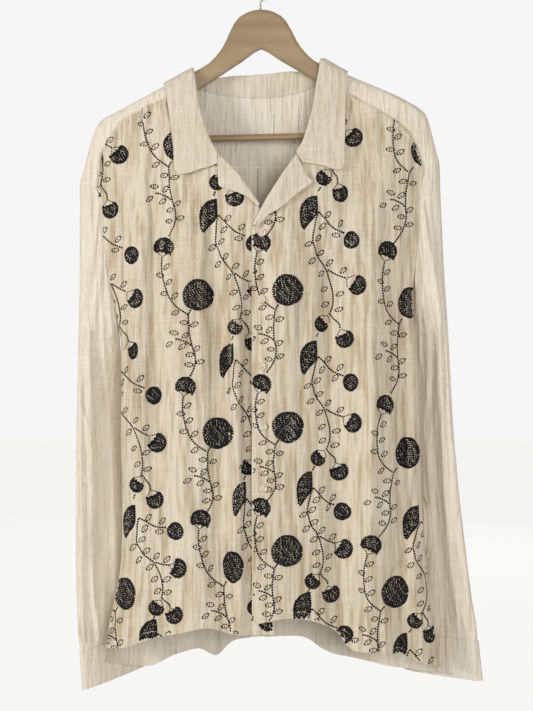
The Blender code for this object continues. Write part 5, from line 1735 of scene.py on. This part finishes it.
# %% Stems, leaves and filled shapes
STEM_PITCH, STEM_STITCH, STEM_WIDTH = 3.3, 3.1, 2.8
LEAF_LENGTH, LEAF_WIDTH, LEAF_THREAD = 11.6, 5.8, 1.95
ROW_PITCH, FILL_PITCH, FILL_STITCH, FILL_WIDTH = 2.4, 3.6, 4.0, 3.0
RIM_PITCH, RIM_STITCH, RIM_WIDTH = 3.3, 3.4, 3.3
THREAD_HEIGHT, RIM_HEIGHT = 0.6, 0.75
LONGEST_STITCH = 9.0


def row_of_stitches(tree, places, pitch, stitch, width):
    """Stitches at an even pitch along places on the chart."""
    count = 12 * len(places)
    fine = between_rows(places, np.linspace(0, len(places) - 1, count))
    hits = [on_cloth(tree, square) for square in fine]
    hits = [hit for hit in hits if hit is not None]
    if len(hits) < 2:
        return []
    points = np.array([hit[0] for hit in hits])
    normals = np.array([hit[1] for hit in hits])
    length = run_length(points)
    sewn = []
    for start in np.arange(0.4, length[-1] - stitch * 0.7, pitch):
        first, second = ([np.interp(place, length, points[:, k]) for k in range(3)]
                         for place in (start, start + stitch))
        near = int(np.searchsorted(length, start + stitch / 2))
        sewn.append((first, second, normals[min(near, len(normals) - 1)], width, THREAD_HEIGHT))
    return sewn


def shape_stitches(tree, centre, lines, width, height=THREAD_HEIGHT):
    """Stitches between pairs of offsets in millimetres from a place on the cloth."""
    for aside in (0, -5, 5, -10, 10):
        hit = on_cloth(tree, (centre[0] + aside, centre[1]))
        if hit is not None:
            break
    else:
        return []
    (x, _, z), normal = hit
    x -= aside * SQUARE
    narrow = -normal.y / max(math.hypot(normal.x, normal.y), 1e-6)
    sewn = []
    for (start_x, start_z), (end_x, end_z) in lines:
        first = onto(tree, x + start_x * narrow, z + start_z)
        second = onto(tree, x + end_x * narrow, z + end_z)
        if first and second and (first[0] - second[0]).length < LONGEST_STITCH:
            sewn.append((tuple(first[0]), tuple(second[0]), tuple(first[1]), width, height))
    return sewn


def leaf_lines(angle, rng):
    """A leaf's ring and its middle, round the leaf's own centre."""
    length = LEAF_LENGTH * rng.uniform(0.92, 1.06)
    width = LEAF_WIDTH * rng.uniform(0.9, 1.08)
    cos, sin = math.cos(angle), math.sin(angle)

    def place(part, side):
        forward = length * (part - 0.5)
        sideways = side * width / 2 * math.sin(math.pi * min(max(part, 0.0), 1.0)) ** 0.85
        return forward * cos - sideways * sin, forward * sin + sideways * cos

    lines = []
    for side in (-1, 1):
        for start in (0.0, 0.26, 0.52, 0.77):
            lines.append((place(start + 0.005, side), place(start + 0.225, side)))
    lines.append((place(0.34, 0), place(0.5, 0)))
    return lines


def filled_lines(outline, angle, rng):
    """Parallel rows of stitches inside an outline, and a ring of thick ones along it."""
    outline = np.asarray(outline, float)
    cos, sin = math.cos(angle), math.sin(angle)
    turned = outline @ np.array([[cos, -sin], [sin, cos]])
    low, high = turned[:, 1].min(), turned[:, 1].max()
    fill = []
    rows = max(int((high - low - RIM_STITCH) / ROW_PITCH), 1)
    for row in range(rows + 1):
        level = (low + high) / 2 + (row - rows / 2) * ROW_PITCH
        following = np.roll(turned, -1, axis=0)
        crossing = (turned[:, 1] - level) * (following[:, 1] - level) < 0
        first, second = turned[crossing], following[crossing]
        share = (level - first[:, 1]) / (second[:, 1] - first[:, 1])
        cuts = np.sort(first[:, 0] + (second[:, 0] - first[:, 0]) * share)
        for left, right in zip(cuts[::2], cuts[1::2]):
            left, right = left + RIM_STITCH * 0.45, right - RIM_STITCH * 0.45
            start = left + (FILL_PITCH / 2 if row % 2 else 0.0) * rng.uniform(0.8, 1.2)
            while start < right - 0.9:
                end = min(start + FILL_STITCH * rng.uniform(0.9, 1.08), right)
                bend = 0.35 * math.sin(start * 0.55 + row)
                ends = [(start, level + bend), (end, level + bend + rng.uniform(-0.25, 0.25))]
                fill.append(tuple((a * cos - b * sin, a * sin + b * cos) for a, b in ends))
                start += FILL_PITCH * rng.uniform(0.94, 1.06)
    closed = np.vstack([outline, outline[:1]])
    length = run_length(closed)
    middle = outline.mean(axis=0)
    ring = []
    for place in np.arange(0, length[-1] - RIM_PITCH / 2, RIM_PITCH):
        point = np.array([np.interp(place, length, closed[:, k]) for k in (0, 1)])
        inward = (middle - point) / max(np.linalg.norm(middle - point), 1e-6)
        reach = RIM_STITCH * rng.uniform(0.85, 1.15)
        ring.append((tuple(point - inward * 0.5), tuple(point + inward * reach)))
    return fill, ring


def round_outline(width, rng):
    """A circle with a little unevenness."""
    turns = np.linspace(0, 2 * math.pi, 40, endpoint=False)
    radius = width / 2 * (1 + 0.025 * np.sin(3 * turns + rng.uniform(0, 6)) + 0.015 * np.sin(7 * turns))
    return np.stack([radius * np.cos(turns), radius * np.sin(turns)], axis=-1)


# %% [markdown]
# A repeat is worked in one order: its stems, its leaves, then its heads, each with its fill and its
# rim. A cupped head sits on two short sepals that spread from the end of its stem.

# %% Work one repeat of a vine
ROUND_SIZE = 31
CUPPED_HEAD = [
    # tenths of its width, with its foot to the left: its jagged foot, then its dome
    (-3.6, -4.2), (-2.6, -3.0), (-3.7, -1.8), (-2.7, -0.6), (-3.4, 0.7), (-2.6, 2.0), (-3.7, 3.3),
    (-2.8, 4.6), (-0.6, 5.0), (1.8, 4.3), (3.4, 2.6), (4.1, 0.3), (3.6, -2.3), (2.0, -4.2), (-0.4, -5.0),
]
SEPAL_SPREAD, SEPAL_LENGTH = math.radians(52), 0.52
SEPAL_PITCH, SEPAL_STITCH, SEPAL_WIDTH = 2.9, 2.5, 1.6


def work_repeat(tree, count, kind, rng):
    """All the stitches of one repeat."""
    place = charted(count, kind)
    stems = ROUND_STEMS if kind == "round" else DROP_STEMS
    leaves = ROUND_LEAVES if kind == "round" else DROP_LEAVES
    cups = ROUND_CUPS if kind == "round" else DROP_CUPS
    leaning = math.radians(22 if kind == "round" else 38)
    sewn = []
    for stem in stems:
        sewn += row_of_stitches(tree, [place(*square) for square in stem], STEM_PITCH, STEM_STITCH, STEM_WIDTH)
    for across, down, foot_across, foot_down in leaves:
        middle, foot = place(across, down), place(foot_across, foot_down)
        own = math.atan2(foot[1] - middle[1], middle[0] - foot[0])
        own = (own + math.pi / 2) % math.pi - math.pi / 2
        angle = 0.35 * own + 0.65 * leaning + rng.uniform(-0.15, 0.15)
        sewn += shape_stitches(tree, middle, leaf_lines(angle, rng), LEAF_THREAD)
    heads = []
    if kind == "round":
        heads.append((place(0, 0), round_outline(ROUND_SIZE * SQUARE, rng), 0.06))
    else:
        outline = [(x * SQUARE * count[4], -y * SQUARE) for x, y in DROP_OUTLINE]
        heads.append((place(0, 0), outline, math.radians(58)))
        for across, down, width in DROP_ROUND_HEADS:
            heads.append((place(across, down), round_outline(width * SQUARE, rng), 0.35))
    for foot_across, foot_down, across, down, width in cups:
        foot, middle = place(foot_across, foot_down), place(across, down)
        angle = math.atan2(foot[1] - middle[1], middle[0] - foot[0])
        cos, sin = math.cos(angle), math.sin(angle)
        size = width * SQUARE / 10
        outline = [((x * cos - y * sin) * size, (x * sin + y * cos) * size) for x, y in CUPPED_HEAD]
        heads.append((middle, outline, angle + math.pi / 2))
        for side in (-1, 1):
            arm, reach = angle + side * SEPAL_SPREAD, SEPAL_LENGTH * width
            tip = (foot[0] + reach * math.cos(arm), foot[1] - reach * math.sin(arm))
            sewn += row_of_stitches(tree, [foot, tip], SEPAL_PITCH, SEPAL_STITCH, SEPAL_WIDTH)
    for middle, outline, angle in heads:
        fill, ring = filled_lines(outline, angle, rng)
        sewn += shape_stitches(tree, middle, fill, FILL_WIDTH)
        sewn += shape_stitches(tree, middle, ring, RIM_WIDTH, RIM_HEIGHT)
    return sewn


for side, vines in VINES.items():
    rng = np.random.default_rng(5 if side == "right" else 6)
    stitches = []
    for kind, counts in vines.items():
        for count in counts:
            stitches += work_repeat(trees[side], count, kind, rng)
    sew(f"embroidery_{side}", stitches, dark_thread, trees[side])

# %% [markdown]
# ## Top stitching
#
# Collar, lapels, cuffs, plackets, seams and hems are held down with cream thread, in rows a few
# millimetres in from each edge. Each row is found by measuring from the edge along the cloth. The
# stitches of a machine are short and lie almost flush, so these are small lumps in a close row,
# and they show on both faces of the folded pieces.

# %% Rows of stitches along an edge
SEAM_PITCH, SEAM_STITCH, SEAM_WIDTH, SEAM_HEIGHT = 2.9, 2.2, 0.7, 0.28


def sampled(net, rows, columns):
    """Points of a net at fractional rows and columns."""
    low_row = np.clip(rows.astype(int), 0, net.shape[0] - 2)
    low_column = np.clip(columns.astype(int), 0, net.shape[1] - 2)
    down, right = (rows - low_row)[:, None], (columns - low_column)[:, None]
    upper = (1 - right) * net[low_row, low_column] + right * net[low_row, low_column + 1]
    lower = (1 - right) * net[low_row + 1, low_column] + right * net[low_row + 1, low_column + 1]
    return (1 - down) * upper + down * lower


def edge_line(net, edge, inset, low, high):
    """Fractional rows and columns of a line that lies an inset away from one edge of a net."""
    turned = net if edge in ("top", "foot") else net.transpose(1, 0, 2)
    if edge in ("foot", "last"):
        turned = turned[::-1]
    depth, width = turned.shape[:2]
    length = run_down(turned)
    into = [np.interp(inset, length[:, k], np.arange(depth)) for k in range(width)]
    place = np.linspace(low * (width - 1), high * (width - 1), 4 * width)
    into = np.interp(place, np.arange(width), into)
    if edge in ("foot", "last"):
        into = depth - 1 - into
    return (into, place) if edge in ("top", "foot") else (place, into)


def edge_stitches(net, edge, inset, facing=None, lift=0.0, low=0.0, high=1.0):
    """A row of machine stitches along an edge, on one face, or on both with no facing given."""
    normals = net_normals(net)
    if facing is not None and (normals * np.asarray(facing)).sum() < 0:
        normals = -normals
    rows, columns = edge_line(net, edge, inset, low, high)
    points, ups = sampled(net, rows, columns), sampled(normals, rows, columns)
    length = run_length(points)
    starts = np.arange(0.5, length[-1] - SEAM_STITCH, SEAM_PITCH)

    def at(values, places):
        return np.stack([np.interp(places, length, values[:, k]) for k in range(3)], axis=-1)

    begins, ends = at(points, starts), at(points, starts + SEAM_STITCH)
    up = at(ups, starts + SEAM_STITCH / 2)
    sewn = []
    for sign in ((1,) if facing is not None else (1, -1)):
        shift = sign * up * lift
        sewn += [(tuple(a), tuple(b), tuple(sign * n), SEAM_WIDTH, SEAM_HEIGHT)
                 for a, b, n in zip(begins + shift, ends + shift, up)]
    return sewn

# %% Sew the seams that show from the front
COLLAR_INSET, CUFF_INSET, HEM_INSET = 4.8, 3.0, 8.6
seams = []
half_collar, half_cuff = COLLAR_CLOTH / 2, CUFF_CLOTH / 2
seams += edge_stitches(collar_net, "foot", COLLAR_INSET, lift=half_collar, low=0.012, high=0.988)
for edge in ("first", "last"):
    seams += edge_stitches(collar_net, edge, COLLAR_INSET, lift=half_collar, low=0.35, high=0.94)
for side in ("right", "left"):
    seams += edge_stitches(lapels[side][0], "foot", COLLAR_INSET, lift=half_collar)
    seams += edge_stitches(cuffs[side][0], "top", CUFF_INSET, lift=half_cuff)
    seams += edge_stitches(cuffs[side][0], "foot", CUFF_INSET, lift=half_cuff)
    for edge in ("first", "last"):
        seams += edge_stitches(cuffs[side][0], edge, CUFF_INSET, lift=half_cuff, low=0.06, high=0.94)
for net in (front_right_net, front_left_net):
    for inset in (1.6, 7.2):
        seams += edge_stitches(net, "top", inset, FORWARDS, low=0.01, high=0.99)
    seams += edge_stitches(net, "foot", HEM_INSET, FORWARDS)
for inset, low in ((2.6, 0.36), (29.0, 0.42)):
    seams += edge_stitches(front_left_net, "first", inset, FORWARDS, low=low)
seams += edge_stitches(pocket_mouth_net, "first", 2.5, lift=THIN_CLOTH / 2)
sew("top_stitching", seams, cream_thread)

# %% [markdown]
# The back's hem and the label's corners are sewn too. They are rows across a net as well, but on
# the face that looks back, and the label looks forward into the neck.

# %% Hem of the back and corners of the label
far_seams = edge_stitches(back_middle, "foot", HEM_INSET, lift=THIN_CLOTH / 2)
for edge in ("top", "foot"):
    for low in (0.03, 0.83):
        far_seams += edge_stitches(label_points, edge, 1.6, low=low, high=low + 0.14)
sew("hem_stitching", far_seams, cream_thread)

# %% [markdown]
# ## Buttons
#
# Five pale buttons close the front and one closes each cuff. A turned disc with a raised rim is
# inset twice, bevelled all round and drilled with four holes. Two bars of thread cross its middle.
# Behind each front button lies a corded buttonhole that runs along the placket.

# %% Pale button material
button_shell, button_tree, button_shader = new_material("cream_button", (0.58, 0.5, 0.38), 0.3)
cloud = stretched_noise(button_tree, 260.0, (1.0, 1.0, 1.0), 3.0)
button_stops = [(0.3, (0.46, 0.37, 0.25)), (0.5, (0.6, 0.52, 0.4)), (0.7, (0.7, 0.64, 0.53))]
button_tree.links.new(ramp(button_tree, cloud, button_stops), button_shader.inputs["Base Color"])
button_shader.inputs["Coat Weight"].default_value = 0.5
button_shader.inputs["Coat Roughness"].default_value = 0.15
print("button finish:", button_shell.name)

# %% Turn and drill a button
BUTTON_RADIUS, BUTTON_DEPTH = 5.4, 2.2
RIM_INSET, DISH_INSET, DISH_DEPTH = 1.2, 0.8, 0.6
HOLE_OFFSET, HOLE_RADIUS = 1.25, 0.62


def turned_button(name):
    """A four-hole button with a rim and a dished middle, flat on the origin."""
    bpy.ops.mesh.primitive_cylinder_add(vertices=40, radius=BUTTON_RADIUS * MM, depth=BUTTON_DEPTH * MM)
    item = bpy.context.object
    item.name = name
    bpy.ops.object.mode_set(mode="EDIT")
    bpy.ops.mesh.select_mode(type="FACE")
    bpy.ops.mesh.select_all(action="DESELECT")
    bpy.ops.object.mode_set(mode="OBJECT")
    max(item.data.polygons, key=lambda face: face.center.z).select = True
    bpy.ops.object.mode_set(mode="EDIT")
    bpy.ops.mesh.inset(thickness=RIM_INSET * MM)
    bpy.ops.mesh.inset(thickness=DISH_INSET * MM, depth=-DISH_DEPTH * MM)
    bpy.ops.object.mode_set(mode="OBJECT")
    rounding = item.modifiers.new("rounding", "BEVEL")
    rounding.width = 0.4 * MM
    rounding.segments = 3
    rounding.limit_method = "ANGLE"
    rounding.angle_limit = math.radians(25)
    bpy.ops.object.modifier_apply(modifier=rounding.name)
    for across, down in ((-1, -1), (1, -1), (-1, 1), (1, 1)):
        spot = (across * HOLE_OFFSET * MM, down * HOLE_OFFSET * MM, 0)
        bpy.ops.mesh.primitive_cylinder_add(vertices=12, radius=HOLE_RADIUS * MM, depth=8 * MM,
                                            location=spot)
        drill = bpy.context.object
        bpy.context.view_layer.objects.active = item
        hole = item.modifiers.new("hole", "BOOLEAN")
        hole.operation = "DIFFERENCE"
        hole.object = drill
        bpy.ops.object.modifier_apply(modifier=hole.name)
        bpy.data.objects.remove(drill, do_unlink=True)
    item.data.materials.clear()
    item.data.materials.append(button_shell)
    return item

# %% [markdown]
# A button is turned to face along the cloth's normal where it is sewn on, and its place goes into
# its mesh. The cuffs' buttons lie on the far side, so their normals come from the cuff's own net.

# %% Sew on the buttons
BUTTON_SEAT = 0.25
BUTTONHOLE_REACH, BUTTONHOLE_PITCH = 8.0, 0.95
button_threads = []


def sew_button(node, place, normal):
    """A button that lies on the cloth at a place in millimetres, with its two bars of thread."""
    item = turned_button(node + "_turned")
    bpy.ops.object.select_all(action="DESELECT")
    item.select_set(True)
    bpy.context.view_layer.objects.active = item
    turn = Vector(normal).to_track_quat("Z", "Y")
    item.rotation_mode = "QUATERNION"
    item.rotation_quaternion = turn
    item.location = (Vector(place) + Vector(normal) * BUTTON_DEPTH / 2) * MM
    bpy.ops.object.transform_apply(location=True, rotation=True, scale=True)
    bpy.ops.object.shade_smooth_by_angle(angle=math.radians(35))
    item.rotation_mode = "XYZ"
    bpy.ops.object.select_all(action="DESELECT")
    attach(item, "root")
    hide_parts(node)
    top = Vector(place) + Vector(normal) * (BUTTON_DEPTH - 0.55)
    for across in (-HOLE_OFFSET, HOLE_OFFSET):
        first, second = (top + turn @ Vector((across, down, 0))
                         for down in (-HOLE_OFFSET - 0.4, HOLE_OFFSET + 0.4))
        button_threads.append((tuple(first), tuple(second), tuple(normal), 1.0, 0.5))
    return item


for number in range(1, 6):
    low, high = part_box(f"button_{number}")
    spot, facing = onto(trees["left"], (low[0] + high[0]) / 2 / MM, (low[2] + high[2]) / 2 / MM)
    made = sew_button(f"button_{number}", spot + facing * BUTTON_SEAT, facing)
    for side in (-1, 1):
        for step in np.arange(-BUTTONHOLE_REACH, BUTTONHOLE_REACH + 0.01, BUTTONHOLE_PITCH):
            near, far = (onto(trees["left"], spot.x + side * reach, spot.z + step) for reach in (0.15, 1.6))
            button_threads.append((tuple(near[0]), tuple(far[0]), tuple(near[1]), 0.9, 0.35))
for side in ("right", "left"):
    low, high = (Vector(corner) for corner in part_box(f"cuff_button_{side}"))
    middle = (low + high) / 2 / MM
    cuff = cuffs[side][0]
    away = np.linalg.norm(cuff - np.array(middle), axis=-1)
    nearest = np.unravel_index(np.argmin(away), cuff.shape[:2])
    facing = Vector(net_normals(cuff)[nearest])
    facing = facing if facing.y > 0 else -facing
    spot = Vector(cuff[nearest])
    spot += (middle - spot) - facing * (middle - spot).dot(facing)
    sew_button(f"cuff_button_{side}", spot + facing * (half_cuff + BUTTON_SEAT), facing)
print("faces of a button:", len(made.data.polygons))
sew("button_thread", button_threads, cream_thread)

# %% [markdown]
# ## Hanger
#
# The hanger is a plank of tan hardwood with rounded edges, a round bar across its foot and a hook
# of bright wire. Their solids have the right shapes, so they keep them and get real finishes.

# %% Wood and wire
def make_wood():
    """Tan lacquered wood with its grain along the hanger."""
    made, tree, shader = new_material("tan_wood", (0.29, 0.2, 0.1), 0.42)
    grain = stretched_noise(tree, 60.0, (0.12, 1.0, 1.0), 6.0)
    pores = stretched_noise(tree, 500.0, (0.06, 1.0, 1.0), 2.0)
    tone = weighed(tree, grain, 0.75, pores, 0.25)
    stops = [(0.3, (0.235, 0.155, 0.075)), (0.5, (0.31, 0.215, 0.11)), (0.7, (0.37, 0.265, 0.145))]
    tree.links.new(ramp(tree, tone, stops), shader.inputs["Base Color"])
    shader.inputs["Coat Weight"].default_value = 0.25
    shader.inputs["Coat Roughness"].default_value = 0.25
    add_bump(tree, shader, pores, 0.15, 0.0003)
    return made


def make_wire():
    """Bright drawn wire with faint marks along it."""
    made, tree, shader = new_material("bright_wire", (0.62, 0.62, 0.6), 0.28)
    shader.inputs["Metallic"].default_value = 1.0
    marks = stretched_noise(tree, 700.0, (1.0, 1.0, 1.0), 2.0)
    stops = [(0.3, (0.5, 0.5, 0.49)), (0.7, (0.7, 0.7, 0.68))]
    tree.links.new(ramp(tree, marks, stops), shader.inputs["Base Color"])
    return made


def refinish(node, material):
    """Gives a kept node its finish."""
    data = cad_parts[node].data
    data.materials.clear()
    data.materials.append(material)


wood, wire = make_wood(), make_wire()
refinish("hanger_wood", wood)
refinish("hanger_bar", wood)
refinish("hanger_hook", wire)
for number in range(1, 6):
    refinish(f"button_{number}", button_shell)
for side in ("right", "left"):
    refinish(f"cuff_button_{side}", button_shell)
print("finishes on the hanger:", wood.name, "and", wire.name)
